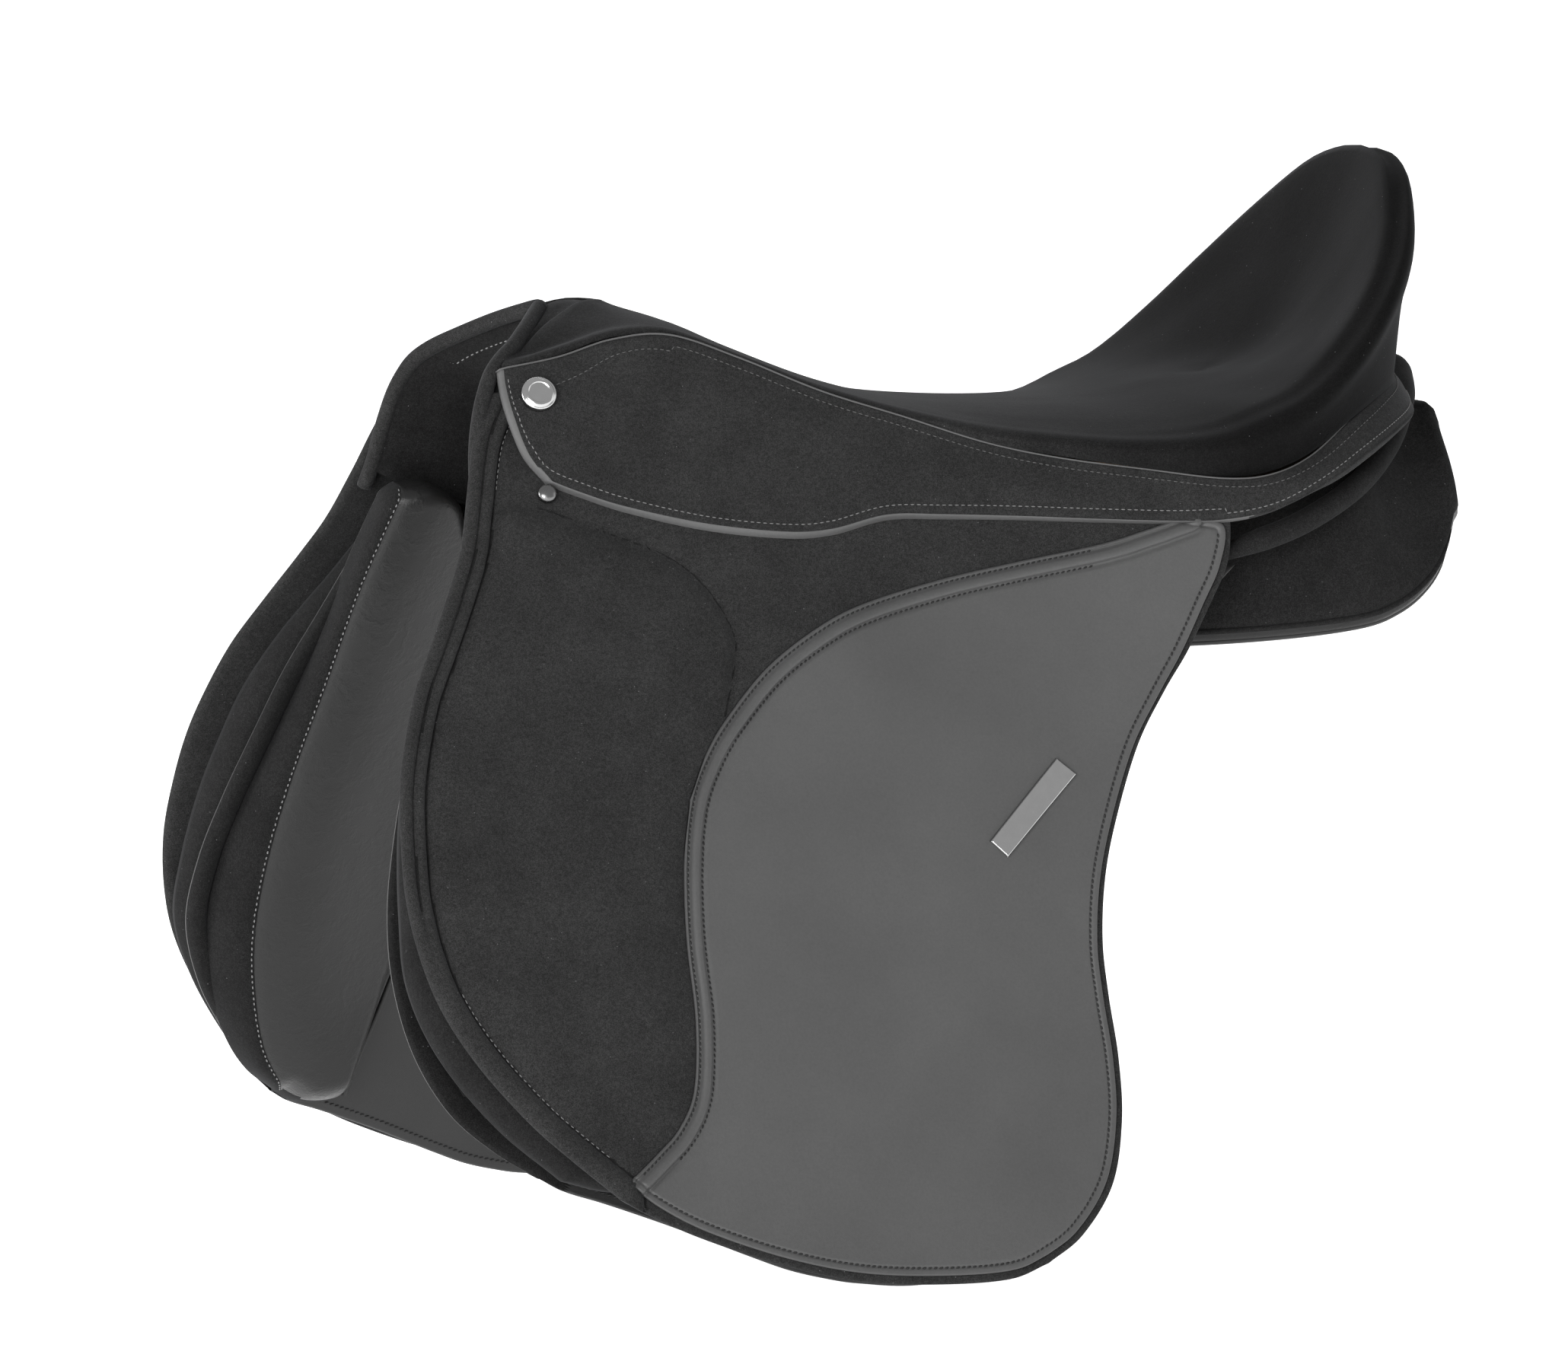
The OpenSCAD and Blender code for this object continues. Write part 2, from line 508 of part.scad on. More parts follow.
module channel_lining() {
    xs = [for (k = [0:14]) mix(-108, 236, k / 14)];
    top = [for (x = xs) [for (y = [-30, 0, 30]) [x, y, lookup(x, CHANNEL_Z)]]];
    under = [for (x = xs) [for (y = [-30, 0, 30]) [x, y, lookup(x, CHANNEL_Z) - 2.5]]];
    color("#262626") slab(top, under);
}

// Front edge of the pommel, from the near skirt over the top to the off skirt: x, y, z
POMMEL = [[-208, -70, 66], [-198, -60, 86], [-187, -52, 104], [-172, -40, 114.8], [-154, -20, 125],
    [-148, 0, 130],
    [-154, 20, 125], [-172, 40, 114.8], [-187, 52, 104], [-198, 60, 86], [-208, 70, 66]];

// Lining of the arch, from the pommel's edge back under the head
module pommel_lining() {
    outer = [for (x = [-153, -116]) [for (k = [0:24]) let (p = arch_point(k / 24, -2.6)) [x, p.x, p.y]]];
    inner = [for (x = [-153, -116]) [for (k = [0:24]) let (p = arch_point(k / 24, -4.1)) [x, p.x, p.y]]];
    lip = [for (k = [0:24]) at(POMMEL, k / 24)];
    lip_in = [for (k = [0:24]) let (p = lip[k]) [p.x + 1, p.y * 0.97, p.z - 1.5]];
    color("#1c1c1c") slab(concat([lip], outer), concat([lip_in], inner));
}

// Corded seam between the pommel's lining, the seat and the skirts
module pommel_piping() {
    half = [[-196, 53, 105], [-191.5, 53.5, 113], [-187, 52, 121], [-174.5, 37, 127], [-161.3, 22, 131.5]];
    near = [for (p = half) [p.x, -p.y, p.z]];
    off = [for (k = [len(half) - 1:-1:0]) half[k]];
    color("#2a2a2a") tube(concat(near, [[-150.2, 0, 136.5]], off), 3, 30, 8);
}

// ---- stirrup bars --------------------------------------------------------------------------

BAR_X = -76;
BAR_Z = 62;
PIN_X = 36;

module at_bar() {
    translate([BAR_X, 13 - half_w(BAR_X, BAR_Z), BAR_Z]) rotate([0, 0, -5]) children();
}

module along_y(x, y0, y1, d) {
    translate([x, y0, 0]) rotate([-90, 0, 0]) cylinder(h = y1 - y0, d = d, $fn = 40);
}

RIVETS = [[-24, 12], [0, 14], [24, 12]];

module stirrup_bar() {
    at_bar() {
        difference() {
            translate([-34, 14, -14]) cube([64, 3, 34]);
            for (r = RIVETS) translate([r.x, 13, r.y]) rotate([-90, 0, 0]) cylinder(h = 5, d = 4.2, $fn = 32);
        }
        translate([-34, -bar_d / 2, -bar_d / 2]) cube([8, 15 + bar_d / 2, bar_d]);
        translate([30 - bar_len, 0, 0]) rotate([0, 90, 0]) cylinder(h = bar_len, d = bar_d, $fn = 48);
        difference() {
            union() {
                translate([28, -1.5, -4]) cube([PIN_X - 28, 3, 8]);
                along_y(PIN_X, -1.5, 1.5, 8);
            }
            along_y(PIN_X, -2, 2, pin_d + 0.06);
        }
    }
}

// Catch that turns up behind the leather. Two cheeks straddle the bar's tongue.
module bar_catch() {
    at_bar() difference() {
        union() {
            for (y = [-4.1, 1.8]) {
                along_y(PIN_X, y, y + 2.3, 8);
                translate([PIN_X, y, -4]) cube([8, 2.3, 8]);
            }
            translate([PIN_X + 6, -4.1, -4]) cube([9, 8.2, 8]);
        }
        along_y(PIN_X, -5, 5, pin_d + 0.1);
    }
}

module catch_pin() {
    at_bar() along_y(PIN_X, -4.4, 4.4, pin_d);
}

module bar_rivet_set() {
    at_bar() for (r = RIVETS) translate([r.x, 0, r.y]) {
        along_y(0, 13, 13.95, 9);
        along_y(0, 12.9, 17, 4);
    }
}

module near_stirrup_bar() { color("#a9adb2") stirrup_bar(); }
module off_stirrup_bar() { color("#a9adb2") mirror([0, 1, 0]) stirrup_bar(); }
module near_bar_catch() { color("#b4b8bd") bar_catch(); }
module off_bar_catch() { color("#b4b8bd") mirror([0, 1, 0]) bar_catch(); }

module catch_pins() {
    color("#c4c7cb") catch_pin();
    color("#c4c7cb") mirror([0, 1, 0]) catch_pin();
}

module bar_rivets() {
    color("#c4c7cb") bar_rivet_set();
    color("#c4c7cb") mirror([0, 1, 0]) bar_rivet_set();
}

// ---- girthing ------------------------------------------------------------------------------

STRAP_Z = 40;
STRAP_LEN = 232;
STRAP_HOLES = 7;

// Flat strap hanging from x, with round holes towards its end
module strap(x) {
    fall = half_w(x, STRAP_Z - STRAP_LEN) - half_w(x, STRAP_Z);
    translate([x, 11 - half_w(x, STRAP_Z), STRAP_Z]) rotate([-atan(fall / STRAP_LEN), 0, 0])
        rotate([90, 0, 0]) translate([0, 0, -strap_t]) linear_extrude(strap_t) difference() {
            union() {
                translate([-strap_w / 2, 10 - STRAP_LEN]) square([strap_w, STRAP_LEN - 10]);
                translate([0, 12 - STRAP_LEN]) scale([1, 0.9]) circle(d = strap_w, $fn = 48);
            }
            for (k = [0:STRAP_HOLES - 1])
                translate([0, 30 - STRAP_LEN + 25 * k]) circle(d = strap_hole_d, $fn = 32);
        }
}

module near_point_strap() { color("#4a3a2c") strap(-122); }
module off_point_strap() { color("#4a3a2c") mirror([0, 1, 0]) strap(-122); }
module near_front_strap() { color("#4a3a2c") strap(-30); }
module off_front_strap() { color("#4a3a2c") mirror([0, 1, 0]) strap(-30); }
module near_rear_strap() { color("#4a3a2c") strap(14); }
module off_rear_strap() { color("#4a3a2c") mirror([0, 1, 0]) strap(14); }

// Guard that keeps the buckles off the flap
module buckle_guard() {
    grid = coons(
        [[-140, 30], [-60, 30], [36, 30]], [[-128, -52], [-60, -66], [28, -52]],
        [[-140, 30], [-142, -10], [-128, -52]], [[36, 30], [38, -10], [28, -52]], 9, 5);
    slab(on_side(grid, -flap_t - 1.2), on_side(grid, -flap_t - 3.2));
}

module near_buckle_guard() { color("#3a3a3a") buckle_guard(); }
module off_buckle_guard() { color("#3a3a3a") mirror([0, 1, 0]) buckle_guard(); }

// ---- trim ----------------------------------------------------------------------------------

// Puts a disc flat on the side surface at x, z
module on_surface(x, z, out) {
    lean = atan((half_w(x, z - 5) - half_w(x, z + 5)) / 10);
    turn = atan((half_w(x + 5, z) - half_w(x - 5, z)) / 10);
    translate([x, -half_w(x, z) - out, z]) rotate([0, 0, -turn]) rotate([90 - lean, 0, 0]) children();
}

// Plain round nail badge over the skirt's front nail
module badge() {
    on_surface(-170, 104, 5.9) {
        cylinder(h = 1.6, d = 16, $fn = 64);
        translate([0, 0, 1.6]) cylinder(h = 1, d1 = 14.6, d2 = 12.6, $fn = 64);
    }
}

module skirt_badges() {
    color("#d5d7da") badge();
    color("#d5d7da") mirror([0, 1, 0]) badge();
}

module stud() {
    on_surface(-180, 61, 0.3) rotate_extrude($fn = 48) intersection() {
        translate([0, -2]) circle(d = 9, $fn = 48);
        square([5, 3]);
    }
}

module flap_studs() {
    color("#d5d7da") stud();
    color("#d5d7da") mirror([0, 1, 0]) stud();
}

tree_head();
near_tree_rail();
off_tree_rail();
tree_cantle();
gullet_plate();
gullet_rivets();
seat_webbing();
girth_webbing();
seat_foam();
seat_cover();
near_skirt_top();
off_skirt_top();
near_skirt();
off_skirt();
near_flap_top();
off_flap_top();
near_flap();
off_flap();
near_flap_panel();
off_flap_panel();
near_knee_pad();
off_knee_pad();
near_nameplate();
off_nameplate();
near_sweat_flap();
off_sweat_flap();
near_knee_block();
off_knee_block();
near_panel();
off_panel();
near_panel_front();
off_panel_front();
near_panel_roll();
off_panel_roll();
channel_lining();
pommel_lining();
pommel_piping();
near_stirrup_bar();
off_stirrup_bar();
near_bar_catch();
off_bar_catch();
catch_pins();
bar_rivets();
near_buckle_guard();
off_buckle_guard();
near_point_strap();
near_front_strap();
near_rear_strap();
off_point_strap();
off_front_strap();
off_rear_strap();
skirt_badges();
flap_studs();
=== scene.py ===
import math
import bmesh
import bpy
import numpy as np
from mathutils import Matrix, Vector


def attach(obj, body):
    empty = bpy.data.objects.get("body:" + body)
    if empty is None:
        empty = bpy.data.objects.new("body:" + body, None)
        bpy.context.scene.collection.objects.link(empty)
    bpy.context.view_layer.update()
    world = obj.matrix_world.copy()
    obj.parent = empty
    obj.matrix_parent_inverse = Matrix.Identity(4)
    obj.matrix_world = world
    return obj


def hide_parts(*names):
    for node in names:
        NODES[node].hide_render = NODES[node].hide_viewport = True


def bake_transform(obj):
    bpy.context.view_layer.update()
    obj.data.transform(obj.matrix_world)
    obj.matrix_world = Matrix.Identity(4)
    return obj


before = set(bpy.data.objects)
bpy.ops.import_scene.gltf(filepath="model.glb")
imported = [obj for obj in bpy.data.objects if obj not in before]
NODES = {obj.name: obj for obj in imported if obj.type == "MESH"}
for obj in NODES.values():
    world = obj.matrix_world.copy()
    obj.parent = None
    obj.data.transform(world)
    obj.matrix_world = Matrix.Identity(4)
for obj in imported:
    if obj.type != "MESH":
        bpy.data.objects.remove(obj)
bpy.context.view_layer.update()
ROOT = "saddle"

# ---- curves and the side surface (mm)

TOP_W = [[-260, -4], [-200, 0], [-170, 5], [-100, 16], [0, 28], [60, 40], [120, 62], [180, 78], [260, 82]]
FOOT_W = [[-260, -11], [-200, -4], [-100, 0], [0, 2], [100, -2], [200, -8]]
GAP = [[-260, 36], [-180, 34], [-120, 27], [-60, 22], [60, 19], [130, 15]]


def eased(x, table):
    """Value of a table of (x, value) at x, averaged over 60 mm so that it has no corners."""
    t = np.array(table, float)
    return sum(np.interp(np.asarray(x, float) + d, t[:, 0], t[:, 1]) for d in (-30, -15, 0, 15, 30)) / 5


def half_w(x, z):
    """Half width of the saddle's side surface, which the skirts and flaps lie on."""
    t = (110 - np.asarray(z, float)) / 400
    g = np.where(t > 0, t + 0.045 * np.sin(np.pi * np.minimum(np.maximum(t, 0), 1)), t)
    a = 58 + eased(x, TOP_W)
    b = 254 + eased(x, FOOT_W)
    return a + (b - a) * g


def gap(x):
    """Depth of the sweat flap behind the side surface."""
    return eased(x, GAP)


KNEE = [[-240, 4], [-206, 4], [-182, 3], [-158, 3], [-135, 4.5], [-111, 7], [-35, 7], [-12, 6.5], [10, 5],
        [22, 3], [38, -2], [50, -5], [70, -6], [104, -5]]
FLAP_FRONT = [(-190, 104), (-201, 85), (-210, 58), (-217, 38), (-226, 21), (-239.5, -2), (-251, -22),
              (-260, -45), (-265.5, -65), (-268.5, -88), (-269.5, -111), (-266.5, -135), (-259.5, -158),
              (-246, -182), (-227, -206), (-210.5, -222), (-191, -239)]
FRONT_X = [(-240, -191)] + [(z, x) for x, z in FLAP_FRONT[-2::-1]]


def flap_w(x, z):
    """Half width of the flaps, whose front edge spreads over the knee block."""
    t = np.clip(1 - (np.asarray(x, float) - eased(z, FRONT_X)) / 55, 0, 1)
    return half_w(x, z) + eased(z, KNEE) * t * t * (3 - 2 * t)


def on_side(q, out, side=-1):
    """Points of the side surface at q = (x, z), moved outwards by out."""
    q = np.asarray(q, float)
    y = flap_w(q[..., 0], q[..., 1]) + out
    return np.stack([q[..., 0], side * y, q[..., 1]], -1)


def unit(v):
    """Vectors v, each scaled to length 1."""
    return v / np.maximum(np.linalg.norm(v, axis=-1), 1e-9)[..., None]


def run_length(points):
    """Length along lines of points, from the first row of points to each row."""
    step = np.linalg.norm(np.diff(points, axis=0), axis=-1)
    return np.concatenate([np.zeros((1,) + step.shape[1:]), np.cumsum(step, axis=0)])


def sampled(points, s, want):
    """Points at the lengths want, on a line whose points lie at the lengths s."""
    return np.stack([np.interp(want, s, points[:, k]) for k in range(points.shape[1])], -1)


def spline(a, b, c, d, t):
    """Catmull-Rom curve from b to c at the share t."""
    return 0.5 * (2 * b + (c - a) * t + (2 * a - 5 * b + 4 * c - d) * t ** 2
                  + (3 * b - a - 3 * c + d) * t ** 3)


def curve(points, n=None, step=None):
    """Smooth curve through points, resampled at equal lengths."""
    p = np.asarray(points, float)
    q = np.vstack([2 * p[0] - p[1], p, 2 * p[-1] - p[-2]])
    t = np.linspace(0, 1, 24, endpoint=False)[:, None]
    out = np.vstack([spline(*q[i:i + 4], t) for i in range(len(p) - 1)] + [p[-1:]])
    s = run_length(out)
    if n is None:
        n = max(2, int(round(s[-1] / step)) + 1)
    return sampled(out, s, np.linspace(0, s[-1], n))


def at(c, u):
    """Points of the resampled curve c at the shares u."""
    return sampled(c, np.arange(len(c)), np.asarray(u, float) * (len(c) - 1))


def patch(top, bottom, front, rear, us, vs):
    """Coons patch: rows follow vs from top to bottom, columns follow us from front to rear."""
    t, b, f, r = (curve(c, 400) for c in (top, bottom, front, rear))
    u = np.asarray(us)[None, :, None]
    v = np.asarray(vs)[:, None, None]
    top_p, bot_p = at(t, us)[None], at(b, us)[None]
    fro_p, rea_p = at(f, vs)[:, None], at(r, vs)[:, None]
    return ((1 - v) * top_p + v * bot_p + (1 - u) * fro_p + u * rea_p
            - (1 - u) * (1 - v) * t[0] - u * (1 - v) * t[-1] - (1 - u) * v * b[0] - u * v * b[-1])


def dense(n, lo=0.0, hi=0.0, k=6):
    """Shares from 0 to 1, with k extra ones within lo of the start and hi of the end."""
    parts = [np.linspace(0, lo, k, endpoint=False)] if lo else []
    parts.append(np.linspace(lo, 1 - hi, n, endpoint=not hi))
    if hi:
        parts.append(np.linspace(1 - hi, 1, k + 1))
    return np.concatenate(parts)


def away(q, line):
    """Distance of points q from a polyline, in the same plane."""
    q = np.asarray(q, float)
    flat = q.reshape(-1, 2)
    best = np.full(len(flat), 1e9)
    for a, b in zip(line[:-1], line[1:]):
        d = b - a
        t = np.clip(((flat - a) @ d) / max(d @ d, 1e-9), 0, 1)
        best = np.minimum(best, np.linalg.norm(flat - a - t[:, None] * d, axis=1))
    return best.reshape(q.shape[:-1])


def nearest(q, lines):
    """Distance of points q from the nearest of some polylines."""
    return np.minimum.reduce([away(q, c) for c in lines])


def inside(q, ring):
    """True where q lies inside the closed ring."""
    q = np.asarray(q, float)
    x, z = q[..., 0], q[..., 1]
    hit = np.zeros(x.shape, bool)
    for (x0, z0), (x1, z1) in zip(ring, np.roll(ring, -1, 0)):
        cross = (z0 > z) != (z1 > z)
        xs = x0 + (z - z0) * (x1 - x0) / (z1 - z0 if z1 != z0 else 1e-9)
        hit ^= cross & (x < xs)
    return hit


def bump(d, centre, half):
    """Rounded ridge: 1 at centre, 0 at half on each side of it."""
    t = np.clip(np.abs(d - centre) / half, 0, 1)
    return np.sqrt(1 - t ** 2)


def groove(d, centre, width):
    """Soft line: 1 at centre, fading over width on each side of it."""
    return np.exp(-((d - centre) / width) ** 2)


def soft_step(d, lo, hi):
    """0 below lo, 1 above hi, eased between them."""
    t = np.clip((d - lo) / (hi - lo), 0, 1)
    return t * t * (3 - 2 * t)


def dome(t):
    """Quarter circle: 0 at t = 0, level with 1 from t = 1 on."""
    return np.sqrt(np.clip(1 - (1 - np.clip(t, 0, 1)) ** 2, 0, 1))


def rounded(d, r):
    """How far a rounded edge of radius r falls at a distance d from its rim."""
    return r * (1 - dome(d / r))


def faces_mean(d):
    """Mean of a grid's values over each face."""
    return (d[1:, 1:] + d[:-1, :-1]) / 2


# ---- meshes

def build(name, verts, faces, mats, index=None):
    """Mesh object from points in mm. index gives each face's material."""
    me = bpy.data.meshes.new(name)
    me.from_pydata((np.asarray(verts, float) * 0.001).tolist(), [], [list(map(int, f)) for f in faces])
    for m in mats if isinstance(mats, (list, tuple)) else [mats]:
        me.materials.append(m)
    if index is not None:
        me.polygons.foreach_set("material_index", np.asarray(index, np.int32))
    me.polygons.foreach_set("use_smooth", [True] * len(me.polygons))
    me.update()
    ob = bpy.data.objects.new(name, me)
    bpy.context.scene.collection.objects.link(ob)
    return ob


def grid_faces(rows, cols, base=0, wrap=False, flip=False):
    """Faces of a grid of points, row after row. wrap joins the last column to the first."""
    out = []
    for j in range(rows - 1):
        for i in range(cols if wrap else cols - 1):
            i2 = (i + 1) % cols
            f = (base + j * cols + i, base + (j + 1) * cols + i,
                 base + (j + 1) * cols + i2, base + j * cols + i2)
            out.append(f[::-1] if flip else f)
    return out


def slab(name, outer, inner, mats, side=-1, pick=None, rim_mat=0, pick_in=None):
    """Closed sheet between two grids of points. pick and pick_in give the outer and inner materials."""
    rows, cols = outer.shape[:2]
    n = rows * cols
    verts = np.vstack([outer.reshape(-1, 3), inner.reshape(-1, 3)])
    faces = grid_faces(rows, cols) + grid_faces(rows, cols, n, flip=True)
    cells = (rows - 1) * (cols - 1)
    index = [0] * cells if pick is None else np.ravel(pick).tolist()
    index += [rim_mat] * cells if pick_in is None else np.ravel(pick_in).tolist()
    ids = np.arange(n).reshape(rows, cols)
    ring = [*ids[0], *ids[1:, -1], *ids[-1, -2::-1], *ids[-2:0:-1, 0]]
    for a, b in zip(ring, ring[1:] + ring[:1]):
        faces.append((a, b, n + b, n + a))
        index.append(rim_mat)
    if side > 0:
        faces = [f[::-1] for f in faces]
    return build(name, verts, faces, mats, index)


def tube(name, path, radius, mat, sides=14):
    """Round cord along path. radius is a number or one for each point."""
    path = np.asarray(path, float)
    t = unit(np.gradient(path, axis=0))
    n1 = unit(np.cross(t, (0.0, 1.0, 0.0)))
    n2 = np.cross(t, n1)
    r = np.broadcast_to(np.asarray(radius, float), (len(path),))[:, None, None]
    ang = np.linspace(0, 2 * np.pi, sides, endpoint=False)[None, :, None]
    rings = path[:, None] + r * (np.cos(ang) * n1[:, None] + np.sin(ang) * n2[:, None])
    last = (len(path) - 1) * sides
    faces = grid_faces(len(path), sides, wrap=True)
    faces += [range(sides), range(last + sides - 1, last - 1, -1)]
    return build(name, rings.reshape(-1, 3), faces, mat)


def stitches(name, path, normal, mat, pitch=2.8, length=1.9, width=0.55, height=0.45, tilt=0.0):
    """A row of thread stitches on path. normal, their upward direction, is one vector or one a point."""
    path = np.asarray(path, float)
    normal = np.broadcast_to(np.asarray(normal, float), path.shape)
    s = run_length(path)
    mids = np.arange(pitch / 2, s[-1], pitch)
    pos = sampled(path, s, mids)
    t = unit(sampled(path, s, mids + 0.4) - sampled(path, s, mids - 0.4))
    nn = sampled(normal, s, mids)
    nn = unit(nn - (nn * t).sum(1)[:, None] * t)
    b = np.cross(nn, t)
    if tilt:
        t, b = t * math.cos(tilt) + b * math.sin(tilt), b * math.cos(tilt) - t * math.sin(tilt)
    shape = [(-1.0, 0.30), (-0.62, 0.85), (0.0, 1.0), (0.62, 0.85), (1.0, 0.30)]  # share of length, of width
    sides = 6
    verts, faces = [], []
    for k in range(len(pos)):
        base = len(verts)
        for x, r in shape:
            for a in range(sides):
                ang = 2 * math.pi * a / sides
                verts.append(pos[k] + t[k] * x * length / 2 + b[k] * math.cos(ang) * r * width / 2
                             + nn[k] * (math.sin(ang) * r * height))
        faces += grid_faces(len(shape), sides, base, wrap=True)
        last = base + (len(shape) - 1) * sides
        faces += [range(base, base + sides), range(last + sides - 1, last - 1, -1)]
    return build(name, np.array(verts), faces, mat)


# ---- materials

def material(name, **inputs):
    """Material, its node tree and its Principled node, whose inputs are set by name."""
    m = bpy.data.materials.new(name)
    m.use_nodes = True
    p = m.node_tree.nodes["Principled BSDF"]
    for k, v in inputs.items():
        p.inputs[k.replace("_", " ")].default_value = v
    return m, m.node_tree, p


def node(nt, kind, **values):
    """New node, with values for its inputs or settings."""
    n = nt.nodes.new(kind)
    for k, v in values.items():
        if k in n.inputs:
            n.inputs[k].default_value = v
        else:
            setattr(n, k, v)
    return n


def coords(nt):
    """Object coordinates, from one shared node."""
    for n in nt.nodes:
        if n.type == "TEX_COORD":
            return n.outputs["Object"]
    return nt.nodes.new("ShaderNodeTexCoord").outputs["Object"]


def texture(nt, kind, out, **values):
    """Output of a texture node laid on object coordinates."""
    n = node(nt, kind, **values)
    nt.links.new(coords(nt), n.inputs["Vector"])
    return n.outputs[out]


def noise(nt, scale, detail=4.0, rough=0.55):
    return texture(nt, "ShaderNodeTexNoise", "Fac", Scale=scale, Detail=detail, Roughness=rough)


def ramp(nt, fac, stops):
    """Colour ramp over fac. Each stop is a position and a colour or a grey."""
    r = nt.nodes.new("ShaderNodeValToRGB")
    el = r.color_ramp.elements
    while len(el) < len(stops):
        el.new(0.5)
    for e, (p, c) in zip(el, stops):
        e.position = p
        e.color = (*c, 1) if isinstance(c, tuple) else (c, c, c, 1)
    nt.links.new(fac, r.inputs["Fac"])
    return r.outputs["Color"]


def feed(nt, values, sockets):
    """Gives each socket its value, a number, a colour or another node's output."""
    for v, sock in zip(values, sockets):
        if isinstance(v, (int, float)):
            sock.default_value = v
        elif isinstance(v, tuple):
            sock.default_value = (*v, 1)
        else:
            nt.links.new(v, sock)


def calc(nt, op, a, b=None):
    n = node(nt, "ShaderNodeMath", operation=op)
    feed(nt, (a,) if b is None else (a, b), n.inputs)
    return n.outputs[0]


def mixed(nt, fac, a, b, blend="MULTIPLY"):
    """Colours a and b mixed. A colour mix node has them at inputs 6 and 7, and its result at output 2."""
    n = node(nt, "ShaderNodeMix", data_type="RGBA", blend_type=blend)
    feed(nt, (fac, a, b), (n.inputs[0], n.inputs[6], n.inputs[7]))
    return n.outputs[2]


def bumped(nt, shader, layers):
    """layers: (height socket, strength, distance in metres), laid one on another."""
    last = None
    for h, strength, dist in layers:
        b = node(nt, "ShaderNodeBump", Strength=strength, Distance=dist)
        nt.links.new(h, b.inputs["Height"])
        if last is not None:
            nt.links.new(last, b.inputs["Normal"])
        last = b.outputs["Normal"]
    nt.links.new(last, shader.inputs["Normal"])


def suede(name, dark, light, sheen=0.05, fade=None):
    """Napped hide with lint. The last argument, a painted shade, is (x from, x to, share of the tone left
    there), in metres: the tone darkens along x.
    """
    m, nt, p = material(name, Roughness=0.96, Specular_IOR_Level=0.12, Sheen_Weight=sheen,
                        Sheen_Roughness=0.42, Sheen_Tint=(0.55, 0.56, 0.60, 1))
    nap, fine, grain = noise(nt, 38, 5, 0.6), noise(nt, 2100, 2, 0.6), noise(nt, 620, 3, 0.7)
    tone = ramp(nt, nap, [(0.30, dark), (0.72, light)])
    col = mixed(nt, 0.85, tone, ramp(nt, fine, [(0.40, 0.55), (0.62, 1.35)]))
    col = mixed(nt, 1.0, col, ramp(nt, grain, [(0.36, 0.80), (0.64, 1.2)]))
    # Painted shade: the tone darkens along x to the given share.
    if fade:
        along = nt.nodes.new("ShaderNodeSeparateXYZ")
        nt.links.new(coords(nt), along.inputs[0])
        share = calc(nt, "MULTIPLY", calc(nt, "ADD", along.outputs[0], -fade[0]), 1 / (fade[1] - fade[0]))
        col = mixed(nt, 1.0, col, ramp(nt, share, [(0.0, 1), (1.0, fade[2])]))
    lint = texture(nt, "ShaderNodeTexVoronoi", "Distance", Scale=330.0)
    dot = ramp(nt, lint, [(0.045, 1), (0.085, 0)])
    rare = ramp(nt, noise(nt, 260, 0, 0.5), [(0.60, 0), (0.66, 1)])
    col = mixed(nt, mixed(nt, 1.0, dot, rare), col, (0.16, 0.16, 0.165), "MIX")
    nt.links.new(col, p.inputs["Base Color"])
    bumped(nt, p, [(nap, 0.25, 0.0006), (grain, 0.35, 0.00022), (fine, 0.4, 0.00008)])
    return m


def leather(name, base, rough=0.46, crease=0.0, pore=1500, spec=0.45, coat=0.05):
    """Smooth hide with pores, and creases where crease isn't 0."""
    m, nt, p = material(name, Specular_IOR_Level=spec, Coat_Weight=coat, Coat_Roughness=0.35)
    cloud, fleck = noise(nt, 16, 3, 0.5), noise(nt, 900, 3, 0.6)
    tone = ramp(nt, cloud, [(0.25, base * 0.88), (0.75, base * 1.10)])
    speck = ramp(nt, fleck, [(0.3, 0.90), (0.7, 1.09)])
    nt.links.new(mixed(nt, 0.8, tone, speck), p.inputs["Base Color"])
    warped = node(nt, "ShaderNodeVectorMath", operation="MULTIPLY_ADD")
    warped.inputs[1].default_value = (1, 1, 1.25)
    nt.links.new(coords(nt), warped.inputs[0])
    nt.links.new(calc(nt, "MULTIPLY", noise(nt, 420, 2, 0.5), 0.0012), warped.inputs[2])
    cell = node(nt, "ShaderNodeTexVoronoi", Scale=float(pore), feature="DISTANCE_TO_EDGE")
    nt.links.new(warped.outputs[0], cell.inputs["Vector"])
    pores = ramp(nt, cell.outputs["Distance"], [(0.0, 0), (0.12, 1)])
    nt.links.new(ramp(nt, fleck, [(0.3, rough - 0.05), (0.7, rough + 0.06)]), p.inputs["Roughness"])
    layers = [(pores, 0.28, 0.00007), (cloud, 0.15, 0.0008)]
    if crease:
        layers.append((ramp(nt, noise(nt, 55, 6, 0.65), [(0.42, 0), (0.5, 1), (0.58, 0.2)]), crease, 0.0005))
    bumped(nt, p, layers)
    return m


def metal(name, tone, rough, scratch=0.02):
    m, nt, p = material(name, Metallic=1.0)
    smear = noise(nt, 240, 4, 0.6)
    nt.links.new(ramp(nt, smear, [(0.3, tone * 0.96), (0.7, tone)]), p.inputs["Base Color"])
    nt.links.new(ramp(nt, smear, [(0.35, rough), (0.75, rough + 0.08)]), p.inputs["Roughness"])
    bumped(nt, p, [(noise(nt, 1400, 2, 0.5), scratch, 0.00005)])
    return m


